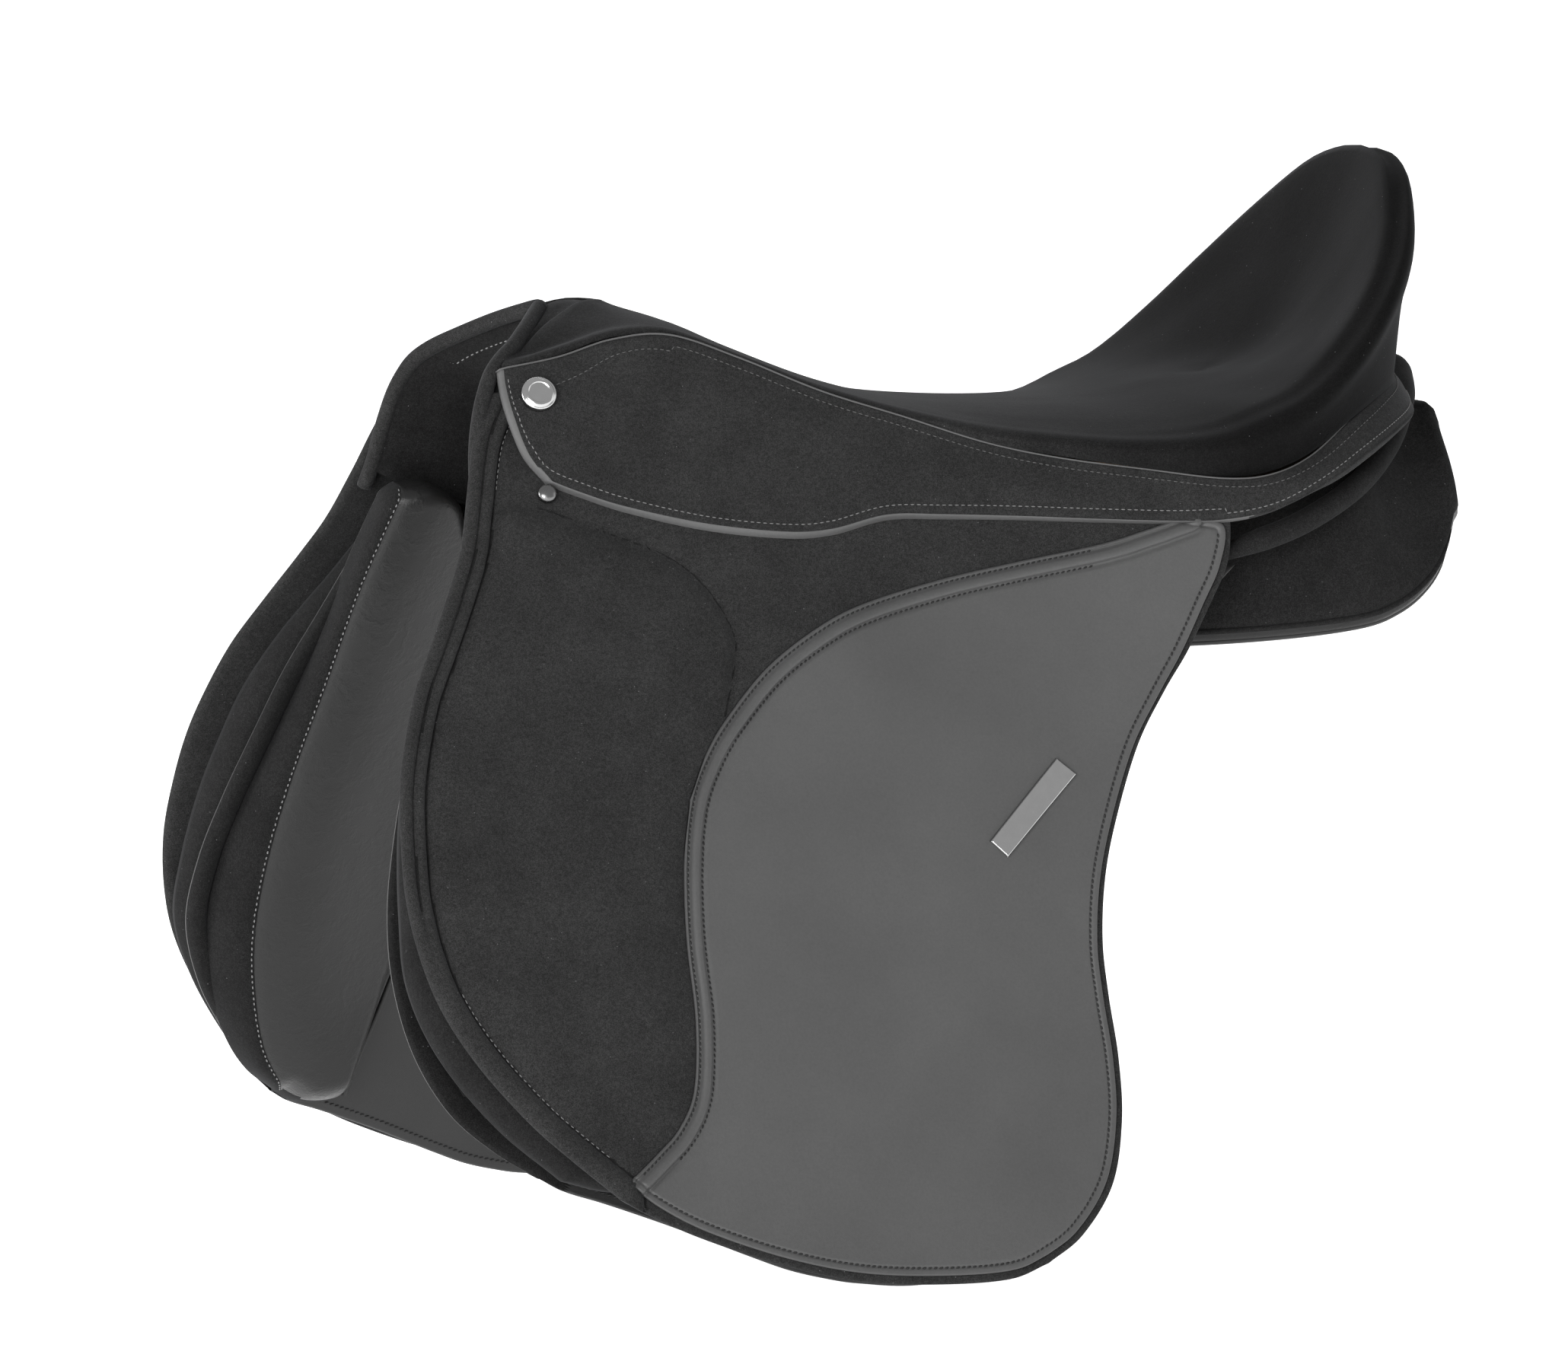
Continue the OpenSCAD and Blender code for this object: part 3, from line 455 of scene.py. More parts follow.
def thread(name, tone):
    m, nt, p = material(name, Roughness=0.62)
    twist = texture(nt, "ShaderNodeTexWave", "Fac", Scale=900.0, Distortion=2.0)
    nt.links.new(ramp(nt, twist, [(0.2, tone * 0.7), (0.8, tone * 1.15)]), p.inputs["Base Color"])
    bumped(nt, p, [(twist, 0.5, 0.0001)])
    return m


def woven(name, dark, light, scale):
    m, nt, p = material(name, Roughness=0.9)
    sep = nt.nodes.new("ShaderNodeSeparateXYZ")
    nt.links.new(coords(nt), sep.inputs[0])
    wx, wy = (calc(nt, "SINE", calc(nt, "MULTIPLY", sep.outputs[k], scale)) for k in (0, 1))
    h = calc(nt, "ADD", calc(nt, "MULTIPLY", calc(nt, "MULTIPLY", wx, wy), 0.5), 0.5)
    nt.links.new(ramp(nt, h, [(0.2, dark), (0.8, light)]), p.inputs["Base Color"])
    bumped(nt, p, [(h, 0.6, 0.0003), (noise(nt, 700, 3, 0.6), 0.3, 0.0002)])
    return m


def wood(name):
    m, nt, p = material(name, Roughness=0.4)
    rings = texture(nt, "ShaderNodeTexWave", "Fac", Scale=22.0, Distortion=3.5, Detail=3.0)
    nt.links.new(ramp(nt, rings, [(0.2, (0.42, 0.27, 0.14)), (0.8, (0.62, 0.45, 0.26))]),
                 p.inputs["Base Color"])
    bumped(nt, p, [(noise(nt, 500, 4, 0.6), 0.2, 0.0002)])
    return m


SUEDE = suede("suede_flap", 0.023, 0.033, 0.08)
# The seat's suede darkens towards the cantle: painted shade.
SUEDE_SEAT = suede("suede_seat", 0.018, 0.027, 0.06, (0.02, 0.14, 0.22))
# A darker copy of the flap's suede for the gussets, knee blocks and sweat flap rolls: painted shade that
# keeps them dark under the side lamp.
SUEDE_SHADED = suede("suede_trim", 0.011, 0.016)
SUEDE_DARK = suede("suede_panel", 0.013, 0.020)
LEATHER = leather("leather_grey", 0.076, 0.50)
LEATHER_SOFT = leather("leather_soft", 0.021, 0.34, crease=0.3, pore=900, spec=0.28, coat=0.0)
LEATHER_DARK = leather("leather_dark", 0.028, 0.42, spec=0.32, coat=0.0)
STRAP = leather("leather_strap", 0.028, 0.40, pore=1200)
# Dark lining suede for the pommel and channel linings; it also paints shade into the flap's grooves, along
# the knee pad's seam and under the panel front's foot.
LINING_AND_SHADE = suede("lining", 0.010, 0.018)
EDGE = leather("painted_edge", 0.100, 0.55, pore=2200, spec=0.4)
EDGE_DARK = leather("dyed_edge", 0.018, 0.45, pore=2200)
CHROME = metal("plated_metal", 0.60, 0.13)
# Dark plate for the stud: its low tone paints in the dark reflection that the plated stud shows.
PLATE_PAINTED_DARK = metal("worn_plate", 0.22, 0.24)
STEEL = metal("forged_steel", 0.55, 0.32, 0.1)
THREAD_LIGHT = thread("thread_light", 0.20)
THREAD_MID = thread("thread_mid", 0.10)
THREAD_DARK = thread("thread_dark", 0.012)
WOOD = wood("beech")
WEB = woven("webbing", (0.30, 0.27, 0.20), (0.62, 0.57, 0.46), 1400)

# ---- seat

# Lines from the seat's middle to its rim: x of the inner end, then x, y, foot and top height of the rim,
# then how far the section is the cantle's.
RAYS = [
    [-112, -145, 0, 134, 139, 0], [-115, -158, 24, 127, 133, 0], [-118, -184, 54, 114.5, 119.5, 0],
    [-115, -160, 58, 119.5, 125, 0], [-110, -134, 58, 127.5, 131.5, 0], [-98, -108, 61, 128, 132, 0],
    [-74, -78, 70, 117, 121, 0], [-42, -43, 83, 102, 107, 0], [-8, -8, 94, 91, 96.5, 0],
    [28, 28, 107, 79.5, 89, 0], [60, 62, 117, 73, 85, 0.05], [90, 96, 130, 68, 83, 0.12],
    [116, 128, 140, 64, 86, 0.25], [132, 150, 142, 66, 94, 0.4], [144, 172, 138, 74, 104, 0.6],
    [152, 196, 127, 88, 125, 0.8], [158, 216, 109, 96, 149, 1], [161, 232, 86, 100, 171.5, 1],
    [164, 245, 52, 104, 193.5, 1], [165, 251, 25, 105, 202, 1], [165, 253, 0, 106, 204, 1]]
MIDDLE_Z = [(-118, 139.4), (-90, 131.2), (-68, 121), (-30, 106), (8, 96.5), (50, 92.5), (91, 91.5),
            (122, 93.5), (165, 103)]
# Rings of the seat from the middle outwards: reach and rise at the front, the same at the cantle, then how
# much the underside lies inwards and below.
RINGS = [
    [0.0, -0.02, 0.0, -0.02, 0, 1], [0.10, 0.00, 0.14, 0.00, 0, 1], [0.34, 0.10, 0.42, 0.14, 0, 1],
    [0.60, 0.45, 0.74, 0.55, 0, 1], [0.82, 1.00, 0.97, 1.00, 0, 1], [0.94, 1.22, 1.075, 1.03, 0.7, 0.7],
    [0.99, 1.50, 1.095, 1.18, 1, 0], [1.00, 1.75, 1.04, 1.50, 1, 0], [1.00, 2.00, 1.00, 2.00, 1, 0]]
POMMEL_X = -131


def side_of(name):
    return -1 if name == "near" else 1


def seat_points(rays, rings, side):
    mid = curve(MIDDLE_Z, 200)
    mid_z = np.interp(rays[:, 0], mid[:, 0], mid[:, 1])
    k = rays[:, 5][None]
    reach = rings[:, 0][:, None] * (1 - k) + rings[:, 2][:, None] * k
    share = rings[:, 1][:, None] * (1 - k) + rings[:, 3][:, None] * k
    z = np.where(share <= 1, mid_z + (rays[:, 4] - mid_z) * share,
                 rays[:, 4] + (rays[:, 3] - rays[:, 4]) * (share - 1))
    x = rays[:, 0] + (rays[:, 1] - rays[:, 0]) * reach
    y = side * rays[:, 2] * reach
    z = z + 2.6 * groove(x, POMMEL_X, 12) * (1 - soft_step(abs(y), 0, 40))
    return np.stack([x, y, z], -1)


def grid_normals(p, side=-1):
    """Outward directions of a side surface given as a grid of points."""
    n = unit(np.cross(np.gradient(p, axis=1), np.gradient(p, axis=0)))
    return -n if side < 0 else n


def snap(pts, grid, normals, lift=0.12):
    """Puts points on a gridded surface, and returns them with the surface's direction."""
    g, n = grid.reshape(-1, 3), normals.reshape(-1, 3)
    k = [np.argmin(((g - p) ** 2).sum(1)) for p in pts]
    off = ((pts - g[k]) * n[k]).sum(1)[:, None]
    return pts - n[k] * off + n[k] * lift, n[k]


def offset(line, d):
    """Curve at distance d to the left of a curve in x and z."""
    t = unit(np.gradient(line, axis=0))
    return line + d * np.stack([-t[:, 1], t[:, 0]], 1)


def weld(ob, dist=0.00002):
    """Joins points closer than dist, in metres, and turns all faces outwards."""
    bm = bmesh.new()
    bm.from_mesh(ob.data)
    bmesh.ops.remove_doubles(bm, verts=bm.verts, dist=dist)
    bmesh.ops.recalc_face_normals(bm, faces=bm.faces)
    bm.to_mesh(ob.data)
    bm.free()
    return ob


def make_seat():
    rays = curve(RAYS, 84)
    rays[:, 2] = np.maximum(rays[:, 2], 0)
    rings = curve(RINGS, 44)
    near, off = (seat_points(rays, rings, s) for s in (-1, 1))
    top = np.concatenate([near, off[:, -2:0:-1]], 1)
    run = unit(np.stack([rays[:, 1] - rays[:, 0], rays[:, 2]], 1))
    dirs = []
    for s, r in ((-1, run), (1, run[-2:0:-1])):
        inwards = np.column_stack([-r[:, 0], -s * r[:, 1], 0 * r[:, 0]])
        dirs.append(rings[:, 4, None, None] * inwards - rings[:, 5, None, None] * [0, 0, 1])
    thick = 4.5 + 7 * soft_step(top[..., 0], -168, -142)
    under = top + thick[..., None] * np.concatenate(dirs, 1)
    rows, cols = top.shape[:2]
    n = rows * cols
    faces = grid_faces(rows, cols, wrap=True) + grid_faces(rows, cols, n, wrap=True, flip=True)
    rim = np.arange(n - cols, n)
    faces += list(zip(rim, n + rim, n + np.roll(rim, -1), np.roll(rim, -1)))
    ob = weld(build("seat", np.vstack([top.reshape(-1, 3), under.reshape(-1, 3)]), faces, SUEDE_SEAT))
    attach(ob, ROOT)
    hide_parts("seat_cover", "seat_foam")


make_seat()

# ---- skirts

SKIRT_OUT = 3.6
SKIRT_TOP = [
    (-187.5, 57.5, 114.5), (-160, 61, 119.5), (-134, 61, 127), (-108, 64, 128.5), (-78, 72.5, 118),
    (-43, 85, 103), (-8, 96, 91.5), (28, 108, 79.5), (60, 119, 72.5), (96, 132, 67.5), (128, 143, 63.5),
    (150, 145, 65), (172, 138, 72.5), (195.5, 125.5, 87.5), (214.5, 107, 96.5), (229.5, 84, 101.5),
    (242, 50.5, 105.5), (248, 24.5, 107), (249.5, 0.2, 107.5)]
SKIRT_FRONT = [(-187.5, 114.5), (-188, 105), (-187, 94), (-183, 78), (-175, 66.5)]
SKIRT_FOOT = [(-175, 66.5), (-160, 60), (-140, 53), (-106, 45), (-71, 41), (-49, 42), (-23, 48), (2, 48),
              (37, 47), (72, 45.5), (106, 44.5), (127, 45)]
SKIRT_BACK = [(152, 149, 49.5), (178, 147, 61), (202, 136, 73), (224, 115, 81), (241, 90, 86), (253, 54, 90),
              (259, 27, 92), (261, 1, 93)]
STITCH_HEAD = [(-163, 106), (-151, 111.5), (-138, 118.6), (-128, 121.7), (-118, 122.6), (-109, 121.6)]


def make_skirt(name):
    """The skirt's sheet, with its grid, directions and distances for the trim."""
    side = side_of(name)
    top = [(x, -y, z) for x, y, z in SKIRT_TOP]
    foot = [(x, -half_w(x, z) - SKIRT_OUT, z) for x, z in SKIRT_FOOT] + [(x, -y, z) for x, y, z in SKIRT_BACK]
    outs = (2, 3, 3.4, SKIRT_OUT)
    front = top[:1] + [(x, -half_w(x, z) - o, z) for (x, z), o in zip(SKIRT_FRONT[1:], outs)]
    rear = [top[-1], (257, -1, 99), foot[-1]]
    p = patch(top, foot, front, rear, dense(230, 0.02, 0.0, 8), dense(34, 0.0, 0.16, 12))
    if side > 0:
        tip = 1 - soft_step(p[..., 0], -188, -140)
        p[..., 0] += 6 * tip
        p[..., 2] -= 5 * tip
    d_top = run_length(p)
    d_foot = d_top[-1] - d_top
    d_front = away(p[..., [0, 2]], curve(SKIRT_FRONT, 60))
    w = 1 - soft_step(p[..., 0], 95, 150)
    y_side = -(half_w(p[..., 0], p[..., 2]) + 1 + (SKIRT_OUT - 1) * soft_step(d_top, 0, 26))
    p[..., 1] = w * y_side + (1 - w) * p[..., 1]
    n = grid_normals(p)
    swell = 1.4 * np.sin(np.pi * np.clip(d_top / np.maximum(d_top[-1], 1), 0, 1)) * (1 - w)
    p = p + n * swell[..., None]
    lobe = 1 - soft_step(p[..., 0], -40, 30)
    d = np.minimum(d_foot, d_front)
    width = 0.9 + 0.85 * lobe
    depth = 1.6 + 1.6 * lobe
    t = np.clip(d / width, 0, 1)
    fall = depth * (1 - t) ** 1.35
    pillow = 0.35 * groove(d, width + 1.2, 0.9) + 0.5 * (1 - soft_step(d_top, 0.0, 1.6))
    outer = p - n * (fall + pillow - 0.35)[..., None]
    inner = p - n * (3.3 + 0.5 * lobe)[..., None]
    outer[-1] = inner[-1] + n[-1] * 0.25
    painted = ((faces_mean(t) < 0.93) & (p[1:, 1:, 0] < 140)).astype(int)
    outer[..., 1] *= -side
    inner[..., 1] *= -side
    ob = slab(name + "_skirt_sheet", outer, inner, [SUEDE, EDGE], side, painted, 1)
    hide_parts(name + "_skirt_top", name + "_skirt")
    lobe_blend(ob)
    return outer, grid_normals(outer, side), d_top, d_foot


def lobe_blend(ob):
    """Bakes a piece's placement into its mesh."""
    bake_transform(ob)


def row_at(grid, dist, want, cols):
    """Points across a grid where dist passes want, column by column."""
    pts = []
    for c in cols:
        order = np.argsort(dist[:, c])
        pts.append([np.interp(want, dist[order, c], grid[order, c, k]) for k in range(3)])
    return np.array(pts)


def skirt_trim(name, outer, nn, d_top, d_foot):
    """Stitches along the skirt's foot and top, and the cord of its top edge."""
    s = side_of(name)
    cols = range(0, outer.shape[1] - 3, 2)
    edge = offset(curve(SKIRT_FRONT + SKIRT_FOOT[1:], 300), 4.9)
    foot = snap(on_side(edge[edge[:, 1] < 110], 3.4, s), outer, nn)
    tail = snap(row_at(outer, d_foot, 4.9, [c for c in cols if outer[-1, c, 0] > 129]), outer, nn)
    a = stitches(name + "_skirt_stitch_edge", *(np.vstack(pair) for pair in zip(foot, tail)), THREAD_LIGHT,
                 2.9, 1.8, 0.5, 0.3)
    head = on_side(curve(STITCH_HEAD, 24), 2, s)
    row = row_at(outer, d_top, 6.0, [c for c in cols if outer[0, c, 0] > -108])
    line = curve(np.vstack([head, row]), step=1.2)
    b = stitches(name + "_skirt_stitch_top", *snap(line, outer, nn), THREAD_MID, 2.9, 1.8, 0.45, 0.28)
    c = tube(name + "_skirt_top_edge", outer[0] + nn[0] * 0.15, 0.42, EDGE, 8)
    for o in (a, b, c):
        lobe_blend(o)


# ---- flaps

FLAP_TOP = [(-190, 104), (-165, 104), (-134, 100), (-120, 60), (-70, 48), (-35, 51), (0, 60), (28, 63),
            (60, 60), (96, 56), (129, 53)]
FLAP_FOOT = [(-191, -239), (-177, -247), (-154, -257.5), (-119, -270), (-84, -278), (-48, -280.5),
             (-15, -279.5), (4, -273.5)]
FLAP_REAR = [(129, 53), (130, 43), (126.5, 26), (117, 9), (104, -12), (91.5, -29), (76.5, -52), (62.5, -83),
             (53.5, -109), (48.5, -136), (48, -160), (49, -187), (47, -214), (39, -241), (22, -262),
             (4, -273.5)]
PANEL_EDGE = [(-186, -232), (-170, -220), (-159, -210), (-150, -194), (-145, -164), (-144, -131),
              (-140, -98), (-133, -71), (-122, -51), (-109, -35), (-88, -15), (-63, 1), (-40, 11), (-2, 21),
              (34, 28), (71, 35), (92, 41), (110, 47)]
SEAM = [(-186, 55), (-178, 54), (-155, 45), (-126, 33), (-110, 19), (-101, -1), (-103, -15), (-111, -36)]
L_FRONT, L_FOOT, L_REAR = curve(FLAP_FRONT, 260), curve(FLAP_FOOT, 120), curve(FLAP_REAR, 160)
L_PANEL, L_SEAM = curve(PANEL_EDGE, 260), curve(SEAM, 90)
K_SEAM = int(np.argmin(np.linalg.norm(L_PANEL - L_SEAM[-1], axis=1)))
K_FRONT = int(np.argmin(np.linalg.norm(L_FRONT - L_SEAM[0] - (-20, 0), axis=1)))
ROLL = 11.4  # width of the rolled front edge
FLAP_T = 4.5
PAD_RING = np.vstack([offset(L_FRONT, ROLL + 0.4)[K_FRONT:-6], L_PANEL[6:K_SEAM], L_SEAM[::-1]])


def flap_heights(q):
    """Outer and inner face of the flap, outwards from the side surface."""
    df, de = away(q, L_FRONT), nearest(q, (L_FOOT, L_REAR))
    pad = np.where(inside(q, PAD_RING), away(q, PAD_RING), 0)
    low = soft_step(q[..., 1], -232, -150)
    out = (5.0 * (1 - np.exp(-pad / 4.5)) + 1.0 * soft_step(pad, 0, 30)) * (0.35 + 0.65 * low)
    out -= 0.9 * groove(away(q, L_SEAM[14:]), 0, 1.3)
    out *= 0.25 + 0.75 * soft_step(away(q, L_PANEL[:K_SEAM]), 0, 16)
    apart = soft_step(q[..., 1], -150, -95)
    whole = bump(df, ROLL / 2, ROLL / 2)
    two = np.maximum(3.4 * bump(df, 2.9, 2.95), 3.9 * bump(df, 8.5, 2.9))
    roll = -1.0 + apart * np.maximum(two, 0.7 * whole) + (1 - apart) * 4.2 * whole
    out = np.where(df < ROLL, roll, out - 1.0 * (1 - soft_step(df, ROLL, ROLL + 2.4)))
    edge = rounded(de, 1.7)
    out -= np.where(df > ROLL, edge, 0)
    inn = np.where(df < 5.0, -1.0 - (FLAP_T - 1) * dome(df / 5.0), edge - FLAP_T)
    return out, np.minimum(inn, out - 0.05)


def flap_blend(ob):
    """Bakes a piece's placement into its mesh."""
    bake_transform(ob)


def make_flap(name):
    s = side_of(name)
    q = patch(FLAP_TOP, FLAP_FOOT, FLAP_FRONT, FLAP_REAR, dense(150, 0.06, 0.012, 30),
              dense(180, 0.004, 0.010, 5))
    out, inn = flap_heights(q)
    # Painted shade: faces along the groove between the two rolls, and along the valley between the roll and
    # the pad, take the dark lining suede.
    df = away((q[1:, 1:] + q[:-1, :-1]) / 2, L_FRONT)
    split = (abs(df - ROLL / 2) < 0.5) & (q[1:, 1:, 1] > -115)
    pick = (split | (abs(df - ROLL - 0.4) < 0.6)).astype(int)
    ob = slab(name + "_flap_sheet", on_side(q, out, s), on_side(q, inn, s), [SUEDE, LINING_AND_SHADE], s, pick)
    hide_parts(name + "_flap_top", name + "_flap", name + "_knee_pad")
    flap_blend(ob)
    # Painted shade: a thin dark cord along the knee pad's seam stands in for the shade in its groove.
    seam = L_SEAM[4:]
    cord = on_side(seam, flap_heights(seam)[0] + 0.05, s)
    flap_blend(tube(name + "_knee_seam", cord, 0.55, LINING_AND_SHADE, 8))
    line = offset(L_FRONT, ROLL + 0.8)
    high = (line[:, 1] > 62) & (line[:, 1] < 100)
    for part, c in (("low", line[line[:, 1] < -150][:-8]), ("high", line[high])):
        pts = on_side(c, flap_heights(c)[0] + 0.15, s)
        st = stitches(name + "_flap_stitch_" + part, pts, [0, s, 0.4], THREAD_LIGHT, 2.9, 1.8, 0.5, 0.3)
        flap_blend(st)


P_FOOT = [(-186, -232), (-175, -242), (-153, -254), (-118, -266.5), (-84, -274), (-48, -276.5), (-15, -275.5),
          (3, -269.5)]
P_REAR = [(110, 47), (126, 43), (122.5, 26), (113, 9), (100.5, -12), (88, -30), (73, -53), (59, -84),
          (50, -110), (45, -137), (44.5, -160), (45.5, -187), (43.5, -213), (35.5, -239), (19.5, -259),
          (3, -269.5)]
L_POUT = curve(P_FOOT + P_REAR[::-1][1:], 400)


def panel_height(q):
    """Outer face of the leather facing: a bead along its front edge, and a stitched groove along the rest."""
    d, de = away(q, L_PANEL), away(q, L_POUT)
    h = 2.0 + 2.3 * bump(d, 4.7, 2.4) - 0.85 * groove(d, 1.7, 0.6) - 0.95 * groove(d, 8.2, 0.8)
    return h - 0.7 * groove(de, 3.4, 0.7) - rounded(np.minimum(d, de), 1.1)


def make_flap_panel(name):
    s = side_of(name)
    q = patch(PANEL_EDGE[7:], P_FOOT, PANEL_EDGE[7::-1], P_REAR, dense(120, 0.05, 0.03, 22),
              dense(120, 0.055, 0.025, 22))
    h = panel_height(q)
    under = np.clip(flap_heights(q)[0] - 0.3, 0.05, 0.4)
    ob = slab(name + "_flap_leather", on_side(q, h, s), on_side(q, np.minimum(under, h - 0.15), s),
              [LEATHER, EDGE_DARK], s, None, 1)
    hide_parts(name + "_flap_panel")
    flap_blend(ob)
    for part, c in (("bead_a", offset(L_PANEL, -1.7)[4:-26]), ("bead_b", offset(L_PANEL, -8.3)[14:-26]),
                    ("hem", offset(L_POUT, 3.4)[8:-14])):
        pts = on_side(c, panel_height(c) + 0.18, s)
        st = stitches(f"{name}_flap_stitch_{part}", pts, [0, s, 0.4], THREAD_DARK, 2.6, 1.9, 0.95, 0.45, 0.35)
        flap_blend(st)


for NAME in ("near", "off"):
    skirt_trim(NAME, *make_skirt(NAME))
    make_flap(NAME)
    make_flap_panel(NAME)

# ---- sweat flaps

SWEAT_TOP = [(-222, 34), (-150, 34), (-80, 34), (0, 33), (60, 30), (118, 24)]
SWEAT_FRONT = [(-222, 34), (-230, 0), (-238, -30), (-248, -60), (-258, -90), (-265.5, -120), (-267.5, -150),
               (-262.5, -180), (-250, -205), (-232, -222), (-213, -234)]
SWEAT_FOOT = [(-213, -234), (-203, -239.5), (-187.5, -244.5), (-172, -250), (-156, -256), (-140, -262.5),
              (-124, -269), (-108, -275), (-92, -279), (-77, -281.5), (-50, -283), (-10, -278)]
SWEAT_REAR = [(118, 24), (78, -30), (52, -80), (40, -120), (38, -170), (36, -215), (18, -255), (-10, -278)]
SWEAT_T = 2.5


def behind(q, depth, side):
    """Points at q = (x, z), a depth inside the side surface."""
    q = np.asarray(q, float)
    return np.stack([q[..., 0], side * (half_w(q[..., 0], q[..., 1]) - depth), q[..., 1]], -1)


def tucked(far, *outlines):
    """Outlines drawn back by far behind the flap towards their tops."""
    out = [np.array(points, float) for points in outlines]
    for p in out:
        p[:, 0] += far * soft_step(p[:, 1], -40, 45)
    return out


def trim(ob, body=ROOT):
    """Gives a piece the body that it rides."""
    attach(ob, body)


def make_sweat_flap(name):
    s = side_of(name)
    top, front, rear = tucked(20 if s < 0 else 14, SWEAT_TOP, SWEAT_FRONT, SWEAT_REAR)
    if s > 0:
        front[:-1, 0] += 10.5 * groove(front[:-1, 1], -200, 27)
    q = patch(top, SWEAT_FOOT, front, rear, dense(70, 0.05, 0.008, 18), dense(90, 0.0, 0.012, 6))
    df, db, dr = (away(q, c) for c in (curve(front, 200), curve(SWEAT_FOOT, 200), curve(rear, 160)))
    roll = bump(df, 4.9, 4.95) * (1 - 0.75 * soft_step(-q[..., 1], 200, 236))
    edge = rounded(np.minimum(np.minimum(db, dr), df + 2), 1.1)
    mid = gap(q[..., 0]) + SWEAT_T / 2
    half = SWEAT_T / 2 * np.clip(df / 1.6, 0.1, 1) - edge
    pick = np.where(faces_mean(df) < 11, 1, np.where(faces_mean(db) < 2.6, 2, 0))
    outer, inner = behind(q, mid - half - 1.3 * roll, s), behind(q, mid + half + 4.4 * roll, s)
    ob = slab(name + "_sweat_sheet", outer, inner, [LEATHER_DARK, SUEDE_SHADED, EDGE_DARK], s, pick, 2, pick)
    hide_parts(name + "_sweat_flap")
    trim(ob)
    hem = offset(curve(SWEAT_FOOT[1:], 260), 4.4)
    for part, depth, d in (("in", SWEAT_T + 0.15, -1), ("out", -0.15, 1)):
        pts = behind(hem, gap(hem[:, 0]) + depth, s)
        trim(stitches(f"{name}_sweat_stitch_{part}", pts, [0, s * d, 0.1], THREAD_DARK,
                      3.0, 2.2, 1.0, 0.5, 0.5))


# ---- knee blocks

BLOCK_FRONT = [(-211, 28), (-220, 12), (-236, -15), (-248, -40), (-256, -65), (-262, -90), (-266, -120),
               (-267, -150), (-257, -180), (-235.5, -210), (-210, -233)]
BLOCK_TOP = [(-211, 28), (-190, 28), (-168, 24)]
BLOCK_FOOT = [(-210, -233), (-190, -238), (-166, -238)]
BLOCK_REAR = [(-168, 24), (-178, -20), (-190, -60), (-199, -100), (-197, -140), (-185, -180), (-166, -238)]


def make_block(name):
    s = side_of(name)
    top, front, rear = tucked(14 if s < 0 else 6, BLOCK_TOP, BLOCK_FRONT, BLOCK_REAR)
    if s > 0:
        front[:-1, 0] += 5 * groove(front[:-1, 1], -195, 35)
    q = patch(top, BLOCK_FOOT, front, rear, dense(26, 0.22, 0.2, 12), dense(70, 0.03, 0.03, 8))
    full = np.maximum(dome(nearest(q, [curve(c, 160) for c in (top, BLOCK_FOOT, front, rear)]) / 14), 0.02)
    x, z = q[..., 0], q[..., 1]
    a, b = flap_w(x, z) - 5.6, half_w(x, z) - gap(x) + 1.4
    mid, half = (a + b) / 2, np.maximum((a - b) / 2, 1.0)
    outer, inner = (np.stack([x, s * (mid + d * half * full), z], -1) for d in (1, -1))
    ob = weld(slab(name + "_block_pad", outer, inner, [SUEDE_SHADED], s), 0.0003)
    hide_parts(name + "_knee_block")
    trim(ob)


# ---- front of the panels

GUSSET = [(-207, 50), (-211.5, 36), (-216, 20), (-220.5, 0), (-228.5, -30), (-238, -60), (-248, -90),
          (-256, -120), (-258, -150), (-253, -180), (-241, -205), (-228, -222), (-212, -233.5)]
PANEL_SEAM = [(-200, 57), (-208, 31), (-215, 5), (-223, -35), (-232, -76), (-238, -113), (-240, -150),
              (-236, -181), (-227, -211), (-212, -234)]
FACE_TOP = [(-200, 57), (-184, 56.5), (-168, 47), (-152, 20), (-110, 3), (-50, -12), (0, -20)]
FACE_FOOT = [(-212, -234), (-203, -239), (-192, -240), (-180, -238)]
FACE_REAR = [(0, -20), (-34, -36), (-80, -54), (-112, -82), (-137, -120), (-158, -165), (-168, -197),
             (-175, -219), (-180, -238)]
WALL = 8  # columns of faces across the gusset


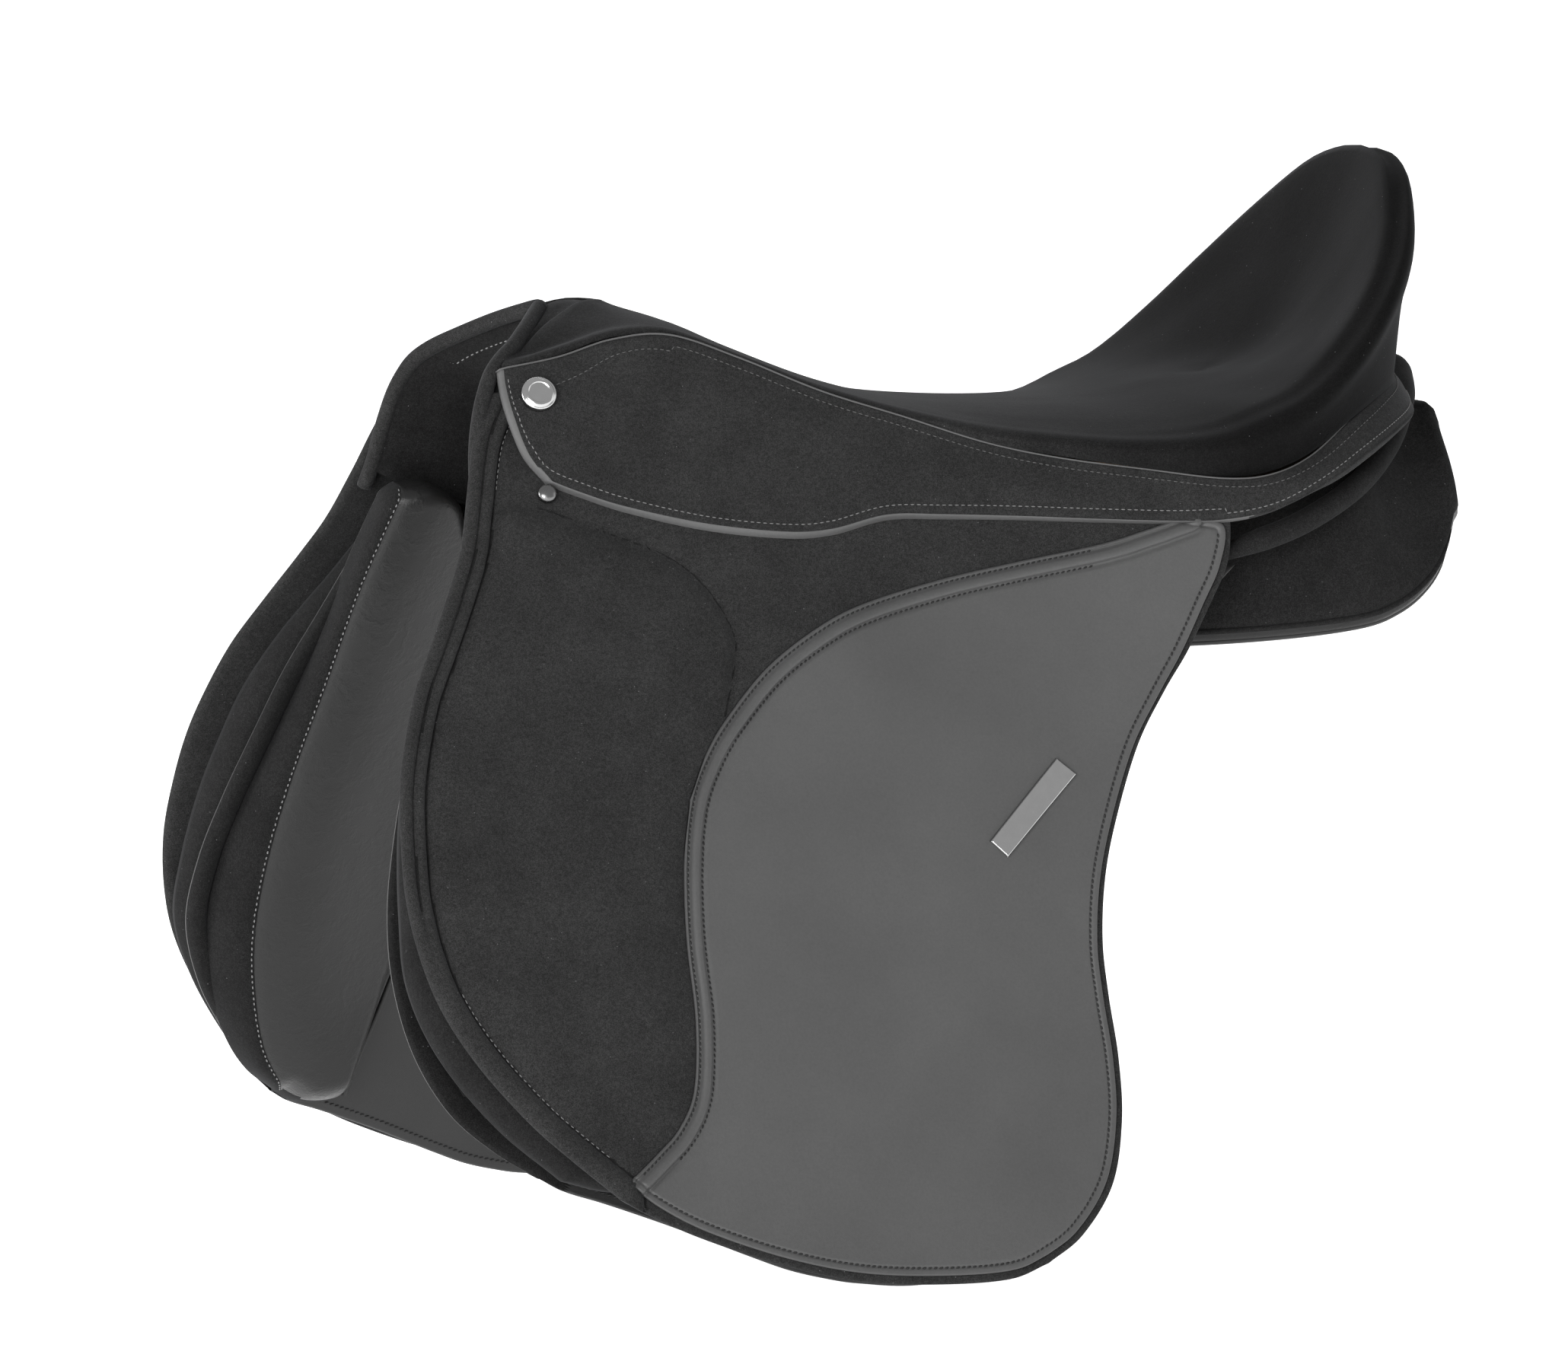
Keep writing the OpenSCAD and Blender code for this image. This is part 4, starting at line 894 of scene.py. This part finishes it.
def make_panel_front(name):
    """Crowned leather face and suede gusset of the panel's front, on the sweat flap's inner side."""
    s = side_of(name)
    vs = dense(110, 0.02, 0.03, 6)
    gusset, join, top, rear = tucked(20 if s < 0 else 0, GUSSET, PANEL_SEAM, FACE_TOP, FACE_REAR)
    base, seam = (at(curve(c, 300), vs) for c in (gusset, join))
    q = patch(top, FACE_FOOT, join, rear, dense(60, 0.10, 0.05, 16), vs)
    rear = curve(rear, 260)
    dr, dt, db = (away(q, c) for c in (rear, curve(top, 260), curve(FACE_FOOT, 260)))
    dp = away(q, curve(join, 300))
    run = run_length(seam)[:, None]
    thick = 22.5 + 7.0 * (1 - np.exp(-dp / 11)) - 21.5 * soft_step(dp, 14, 95)
    thick = thick + 0.45 * np.exp(-dp / 4) * np.sin(run * 1.15) * np.sin(run * 0.31) - 0.9 * np.exp(-dp / 1.1)
    for d, r in ((dr, 7), (dt, 9), (db, 11)):
        thick = thick * np.maximum(dome(d / r), 0.02)
    g = gap(q[..., 0]) + SWEAT_T + 0.3
    wall, wall_back = [], []
    for k in np.arange(WALL) / WALL:
        line = base + (seam - base) * k
        line[:, 0] -= 1.8 * math.sin(math.pi * k)
        depth = gap(line[:, 0]) + SWEAT_T + 0.3
        rise = np.maximum(thick[:, 0] - 0.3, 0.1) * math.sin(math.pi / 2 * k) ** 0.9
        wall.append(behind(line, depth + 0.3 + rise, s))
        wall_back.append(behind(line, depth, s))
    face = np.concatenate([np.stack(wall, 1), behind(q, g + thick, s)], 1)
    back = np.concatenate([np.stack(wall_back, 1), behind(q, g, s)], 1)
    # Painted shade: faces at the very foot of the leather face take the dark lining suede, for the shade
    # under the pad's foot.
    foot = np.where(faces_mean(db) < 2.5, 2, 0)
    pick = np.hstack([np.ones((len(foot), WALL), int), foot])
    ob = slab(name + "_panel_front_pad", back, face, [LEATHER_SOFT, SUEDE_SHADED, LINING_AND_SHADE], s, pick, 0, pick)
    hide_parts(name + "_panel_front")
    trim(ob)
    line = curve((face[:, WALL] * 0.65 + face[:, WALL - 1] * 0.35)[2:-2], step=1.0) + [-0.35, -s * 0.3, 0]
    trim(stitches(name + "_panel_stitch", line, [-0.75, -s * 0.75, 0], THREAD_LIGHT, 3.0, 1.5, 0.75, 0.4))
    for part, out, r in (("a", 0.8, 1.5), ("b", 4.0, 1.2)):
        c = offset(rear[150:], out)
        pts = behind(c, gap(c[:, 0]) + SWEAT_T + 1.2, s)
        trim(tube(f"{name}_panel_piping_{part}", pts[::3], r, LEATHER_DARK, 10))


# ---- bearing panels

# Sections of the panel: x, then inner edge and its top, outer edge, inner and outer foot.
PANEL = [
    (-152, 33, 72, 47, 38, 60, 34), (-142, 31, 74, 51, 32, 68, 18), (-110, 32, 69, 54, 24, 74, 8),
    (-50, 32, 63, 62, 8, 92, -6), (20, 32, 58, 82, 2, 102, -13), (90, 33, 56, 102, 1, 116, -14.5),
    (150, 34, 58, 110, 0, 125, -13), (200, 35, 70, 108, -1, 125, -9), (224, 35, 72, 87, 5, 118, -3),
    (242, 33, 78, 69, 13, 108, 7), (254, 30, 86, 60, 29, 98, 20), (261, 32, 88, 62, 43, 90, 33)]


SECTION_N = 66


def section(a, zt, b, zi, c, zo):
    """Closed outline of a panel's section, as y and z."""
    p = np.array([(a, zt - 6), (a + 5, zt), ((a + b) / 2, zt + 1), (b - 5, zt), (b, zt - 7),
                  ((b + c) / 2 + 4, (zt + zo) / 2), (c, zo + 9), (c - 8, zo),
                  ((a + c) / 2, (zi + zo) / 2 - 3), (a + 7, zi), (a, zi + 7)], float)
    n = len(p)
    share = np.linspace(0, n, SECTION_N, endpoint=False)
    return np.array([spline(*(p[(int(u) + k) % n] for k in (-1, 0, 1, 2)), u - int(u)) for u in share])


def cap(ring, way):
    """Rings that close a panel's end with a rounded cap, 7 mm deep."""
    mid, out = ring.mean(0), []
    for a in np.radians((25, 45, 62, 76, 87)):
        r = mid + (ring - mid) * math.cos(a)
        r[:, 0] = ring[0, 0] + way * 7 * math.sin(a)
        out.append(r)
    return out


def make_panel(name):
    s = side_of(name)
    rings = [np.insert(section(*r[1:]) * (s, 1), 0, r[0], axis=1) for r in curve(PANEL, 96)]
    seams = [int(SECTION_N * k / 11) for k in (3.6, 6.25, 6.75)]
    for ring in rings:
        for j in seams:
            ring[j, 1:] += (ring.mean(0)[1:] - ring[j, 1:]) * 0.022
    rings = cap(rings[0], -1)[::-1] + rings + cap(rings[-1], 1)
    last = (len(rings) - 1) * SECTION_N
    faces = grid_faces(len(rings), SECTION_N, wrap=True)
    faces += [range(SECTION_N), range(last + SECTION_N - 1, last - 1, -1)]
    index = [int(i < seams[1] and ring[0, 0] >= -60) for ring in rings[:-1] for i in range(SECTION_N)]
    index += [0, 1]
    ob = build(name + "_panel_pad", np.vstack(rings), faces, [LEATHER_SOFT, SUEDE_DARK], index)
    weld(ob, 0.00001)
    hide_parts(name + "_panel")
    trim(ob)
    for part, j, mat in (("a", seams[1], SUEDE_DARK), ("b", seams[2], LEATHER_DARK)):
        line = np.array([r[j] for r in rings[28:-7]])
        out = unit(line - [r.mean(0) for r in rings[28:-7]])
        r = 1.3 * np.clip((1 - np.linspace(0, 1, len(line))) / 0.06, 0.15, 1)
        trim(tube(f"{name}_panel_cord_{part}", line + out * 0.5, r, mat, 8))


REAR_ROLL = [(265, 0.5, 102.5), (264, 12, 101.5), (260.5, 26, 98), (249, 56, 89.5), (228.5, 90, 73),
             (201.5, 118, 56.5), (169, 134, 42), (137, 138, 32), (112, 130, 24)]


def make_rear_roll(name):
    s = side_of(name)
    path = curve([(x, s * y, z) for x, y, z in REAR_ROLL], 90)
    u = np.linspace(0, 1, len(path))
    r = 5.4 * np.minimum(1, np.sqrt(np.clip((1 - u) / 0.16, 0.05, 1)))
    ob = tube(name + "_rear_roll", path, r, SUEDE_DARK, 20)
    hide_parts(name + "_panel_roll")
    trim(ob)


# ---- pommel and channel

# Halves of the arch under the pommel and of the lining's front edge, up to the centre line.
ARCH = np.array([(-78, 44), (-70, 68), (-59, 92), (-46, 105), (-24, 111), (0, 112)], float)
LIP = np.array([(-203, -73, 62), (-198.5, -64, 84.5), (-192, -57, 104), (-181.5, -47, 117),
                (-160, -22, 130.3), (-147, 0, 136.5)])
ROLL_PATH = [(-147.5, 0, 137.8), (-150, 5, 136.8), (-160.5, 22, 131.1), (-172.5, 38, 123.6),
             (-182, 47, 117.7), (-188.5, 53, 111.7), (-192.5, 57, 104.8), (-196, 60.5, 96),
             (-198.9, 64, 84.5), (-200.5, 67.5, 75), (-201.7, 71.5, 65.5), (-204, 78, 53)]


def make_pommel():
    arch = curve(np.vstack([ARCH, ARCH[-2::-1] * (-1, 1)]), 90)
    t = unit(np.gradient(arch, axis=0))
    n = np.stack([-t[:, 1], t[:, 0]], 1)
    lip = curve(np.vstack([LIP, LIP[-2::-1] * (1, -1, 1)]), 90)
    skins = []
    for depth, first in ((2.6, lip), (4.1, lip * (1, 0.965, 1) + (1.2, 0, -1.6))):
        rows = [np.insert(arch - n * depth, 0, x, axis=1) for x in (-153, -140, -128, -116)]
        blend = [first + (rows[0] - first) * k - [0, 0, 2.4 * math.sin(math.pi * k)]
                 for k in (0, 0.2, 0.4, 0.6, 0.8)]
        skins.append(np.stack(blend + rows))
    ob = slab("pommel_lining_sheet", skins[0], skins[1], [LINING_AND_SHADE])
    weld(ob, 0.00001)
    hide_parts("pommel_lining")
    trim(ob)
    half = np.array(ROLL_PATH, float)
    ob = tube("pommel_roll", curve(np.vstack([half[:0:-1] * (1, -1, 1), half]), 150), 3.6, SUEDE, 18)
    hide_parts("pommel_piping")
    trim(ob)
    row = curve((skins[1][1] * 0.65 + skins[1][2] * 0.35)[24:-24] - [0, 0, 0.35], step=1.0)
    trim(stitches("pommel_stitch", row, [-0.4, 0, -0.9], THREAD_LIGHT, 3.0, 1.6, 0.6, 0.35))


CHANNEL_Z = [(-108, 74), (-50, 68), (10, 60), (90, 58), (180, 64), (236, 72)]


def make_channel():
    line = curve(CHANNEL_Z, 60)
    top = np.array([[(x, y, z - 1.6 * math.cos(math.pi * y / 60)) for x, z in line]
                    for y in np.linspace(-30, 30, 21)])
    ob = slab("channel_lining_sheet", top - [0, 0, 1.8], top, [LINING_AND_SHADE])
    weld(ob, 0.00001)
    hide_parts("channel_lining")
    trim(ob)


# ---- girthing

GUARD_FRONT = [(-140, 30), (-142, -10), (-128, -52)]
GUARD_FOOT = [(-128, -52), (-60, -66), (28, -52)]
GUARD_REAR = [(36, 30), (38, -10), (28, -52)]


def make_guard(name):
    s = side_of(name)
    q = patch([(-140, 30), (-60, 30), (36, 30)], GUARD_FOOT, GUARD_FRONT, GUARD_REAR,
              dense(40, 0.04, 0.04, 5), dense(26, 0.0, 0.06, 5))
    foot, front, rear = ring = [curve(c, 80) for c in (GUARD_FOOT, GUARD_FRONT, GUARD_REAR)]
    edge = rounded(nearest(q, ring), 0.9)
    ob = slab(name + "_guard_sheet", on_side(q, -5.7 - edge, s), on_side(q, -7.7 + edge, s),
              [LEATHER_DARK, EDGE_DARK], s, None, 1)
    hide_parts(name + "_buckle_guard")
    trim(ob)
    hem = np.vstack([offset(c, 4)[4:-4] for c in (front, foot, rear[::-1])])
    pts = on_side(curve(hem[::6], step=1.5), -5.6, s)
    trim(stitches(name + "_guard_stitch", pts, [0, s, 0.3], THREAD_MID, 3.4, 2.4, 0.6, 0.35))


def strap_stitches(name, x):
    """Rows of thread down both edges of a strap, riding with it."""
    s = side_of(name.split("_")[0])
    high = float(half_w(x, 40))
    drop = math.atan((float(half_w(x, -192)) - high) / 232)
    down = np.array([0, s * math.sin(drop), -math.cos(drop)])
    out = np.array([0, s * math.cos(drop), math.sin(drop)])
    for part, dx in (("a", -10), ("b", 10)):
        line = np.array([x + dx, s * (high - 11), 40.0]) + np.arange(5, 214, 1.5)[:, None] * down + out * 0.1
        trim(stitches(f"{name}_stitch_{part}", line, out, THREAD_MID, 3.6, 2.6, 0.6, 0.3), body=name)


# ---- plates, badges and studs

def outward(x, z, side):
    """Direction of the side surface at x and z."""
    wx = float(half_w(x + 4, z) - half_w(x - 4, z)) / 8
    wz = float(half_w(x, z + 4) - half_w(x, z - 4)) / 8
    return unit(np.array([-wx, side, -wz]))


def lathe(name, centre, axis, profile, mat, sides=64):
    """Turned part. profile: (radius, height) along the axis, with a point on the axis at both ends."""
    u = unit(np.cross(axis, [0, 0, 1.0]))
    v = np.cross(axis, u)
    verts = [centre + axis * profile[0][1]]
    for r, h in profile[1:-1]:
        for a in np.linspace(0, 2 * math.pi, sides, endpoint=False):
            verts.append(centre + axis * h + (u * math.cos(a) + v * math.sin(a)) * r)
    verts.append(centre + axis * profile[-1][1])
    faces = grid_faces(len(profile) - 2, sides, 1, wrap=True)
    end = len(verts) - 1
    for k in range(sides):
        faces.append((0, 1 + k, 1 + (k + 1) % sides))
        faces.append((end, end - sides + (k + 1) % sides, end - sides + k))
    return weld(build(name, np.array(verts), faces, mat), 1e-6)


BADGE = [(0, -2.0), (7.6, -2.0), (8.0, -1.7), (8.0, 0.9), (7.8, 1.3), (7.4, 1.6), (6.9, 1.7), (6.6, 2.1),
         (5.9, 2.5), (5.4, 2.6), (5.0, 2.45), (4.8, 2.2), (4.4, 2.1), (3.4, 2.3), (1.8, 2.5), (0.8, 2.55),
         (0, 2.56)]
STUD = [(0, -1.6), (4.1, -1.6), (4.4, -1.2), (4.45, -0.4), (4.3, 0.4), (3.9, 1.1), (3.1, 1.7), (2.0, 2.1),
        (1.0, 2.3), (0, 2.35)]


PLATE = np.array([(1, -92), (37, -57), (45, -64), (8, -99)], float)
# The stud takes the dark plate, a painted reflection.
FITTINGS = [("badge", -172.4, 104, 5.9, BADGE, "skirt_badges", CHROME),
            ("stud", -175, 61, 1.9, STUD, "flap_studs", PLATE_PAINTED_DARK)]


def make_metalwork(name):
    """Blank round badge and nameplate, and the stud."""
    s = side_of(name)
    for part, x, z, out, profile, node_name, mat in FITTINGS:
        c = np.array([x, s * (float(half_w(x, z)) + out), z])
        ob = lathe(f"{name}_{part}_disc", c, outward(x, z, s), profile, mat)
        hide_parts(node_name)
        trim(ob)
    a, b, c, d = PLATE
    us, vs = dense(40, 0.04, 0.04, 5)[None, :, None], dense(12, 0.18, 0.18, 5)[:, None, None]
    q = (a + (b - a) * us) * (1 - vs) + (d + (c - d) * us) * vs
    along = np.minimum(us, 1 - us)[..., 0] * np.linalg.norm(b - a)
    across = np.minimum(vs, 1 - vs)[..., 0] * np.linalg.norm(d - a)
    e = np.minimum(along, across)
    h = 3.3 + dome(e / 1.1) - 0.25 * groove(e, 2.1, 0.35)
    ob = slab(name + "_plate", on_side(q, h, s), on_side(q, 1.7, s), [CHROME], s)
    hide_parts(name + "_nameplate")
    trim(ob, name + "_flap")


for NAME in ("near", "off"):
    make_sweat_flap(NAME)
    make_block(NAME)
    make_panel_front(NAME)
    make_panel(NAME)
    make_rear_roll(NAME)
    make_guard(NAME)
    make_metalwork(NAME)
    for STRAP_NAME, STRAP_X in (("point", -122), ("front", -30), ("rear", 14)):
        strap_stitches(f"{NAME}_{STRAP_NAME}_strap", STRAP_X)
make_pommel()
make_channel()

# ---- carried-over nodes

FINISH = {
    "tree_head": WOOD, "tree_rail": WOOD, "tree_cantle": WOOD, "gullet_plate": STEEL, "gullet_rivets": STEEL,
    "seat_webbing": WEB, "girth_webbing": WEB, "stirrup_bar": STEEL, "bar_catch": STEEL, "catch_pins": STEEL,
    "bar_rivets": STEEL, "point_strap": STRAP, "front_strap": STRAP, "rear_strap": STRAP}
for node_name, ob in NODES.items():
    key = node_name.replace("near_", "").replace("off_", "")
    if key in FINISH and not ob.hide_render:
        ob.data.materials.clear()
        ob.data.materials.append(FINISH[key])

# ---- stage (metres, but the floor in mm)

FLOOR_Z = -291.0
LAMPS = [("key", (-2.4, -2.8, 0.4), (0, 0, -0.05), (2.0, 1.6), 88),
         ("fill", (2.6, -1.4, 0.8), (0, 0, 0), (1.6, 1.6), 6),
         ("side", (-2.6, 0.5, 0.1), (-0.2, 0.1, -0.05), (0.8, 1.4), 34),
         ("rim", (0.3, 2.2, 1.6), (0, 0, 0.05), (2.0, 1.0), 14)]


def area_light(name, loc, target, size, power):
    d = bpy.data.lights.new(name, "AREA")
    d.shape = "RECTANGLE"
    d.size, d.size_y = size
    d.energy = power
    o = bpy.data.objects.new(name, d)
    bpy.context.scene.collection.objects.link(o)
    o.location = loc
    o.rotation_euler = (Vector(target) - Vector(loc)).to_track_quat("-Z", "Y").to_euler()


def make_camera(azimuth, elevation, distance, target):
    a, e = math.radians(azimuth), math.radians(elevation)
    back = Vector((math.sin(a) * math.cos(e), -math.cos(a) * math.cos(e), math.sin(e)))
    right = Vector((math.cos(a), math.sin(a), 0))
    cam = bpy.data.objects.new("camera", bpy.data.cameras.new("camera"))
    cam.data.sensor_width = 36.0
    cam.data.lens = 405.4369
    cam.data.clip_end = 90.0
    turn = Matrix((right, back.cross(right), back)).transposed().to_4x4()
    cam.matrix_world = Matrix.Translation(Vector(target) + back * distance) @ turn
    bpy.context.scene.collection.objects.link(cam)
    bpy.context.scene.camera = cam


def make_floor():
    """Pale floor, rising to a wall far behind the object, beyond the cameras of the rear views."""
    m, nt, p = material("floor", Roughness=0.9, Emission_Color=(1, 1, 1, 1), Emission_Strength=0.80)
    nt.links.new(ramp(nt, noise(nt, 2.0, 2, 0.5), [(0.3, 0.90), (0.7, 0.93)]), p.inputs["Base Color"])
    bend = [(24000 + 2000 * math.sin(t), FLOOR_Z + 2000 * (1 - math.cos(t)))
            for t in np.linspace(0.15, math.pi / 2, 9)]
    prof = [(-26000, FLOOR_Z), (24000, FLOOR_Z)] + bend + [(26000, 11000)]
    pts = [(x, y, h) for y, h in prof for x in (-32000, 32000)]
    faces = [(2 * k, 2 * k + 1, 2 * k + 3, 2 * k + 2) for k in range(len(prof) - 1)]
    build("floor", pts, faces, m)


def make_stage():
    make_camera(-20, 5, 8, (-0.030, 0, -0.035))
    world = bpy.data.worlds.new("studio")
    world.use_nodes = True
    world.node_tree.nodes["Background"].inputs["Color"].default_value = (1, 1, 1, 1)
    world.node_tree.nodes["Background"].inputs["Strength"].default_value = 0.45
    bpy.context.scene.world = world
    bpy.context.scene.view_settings.view_transform = "Standard"
    for lamp in LAMPS:
        area_light(*lamp)
    make_floor()


make_stage()
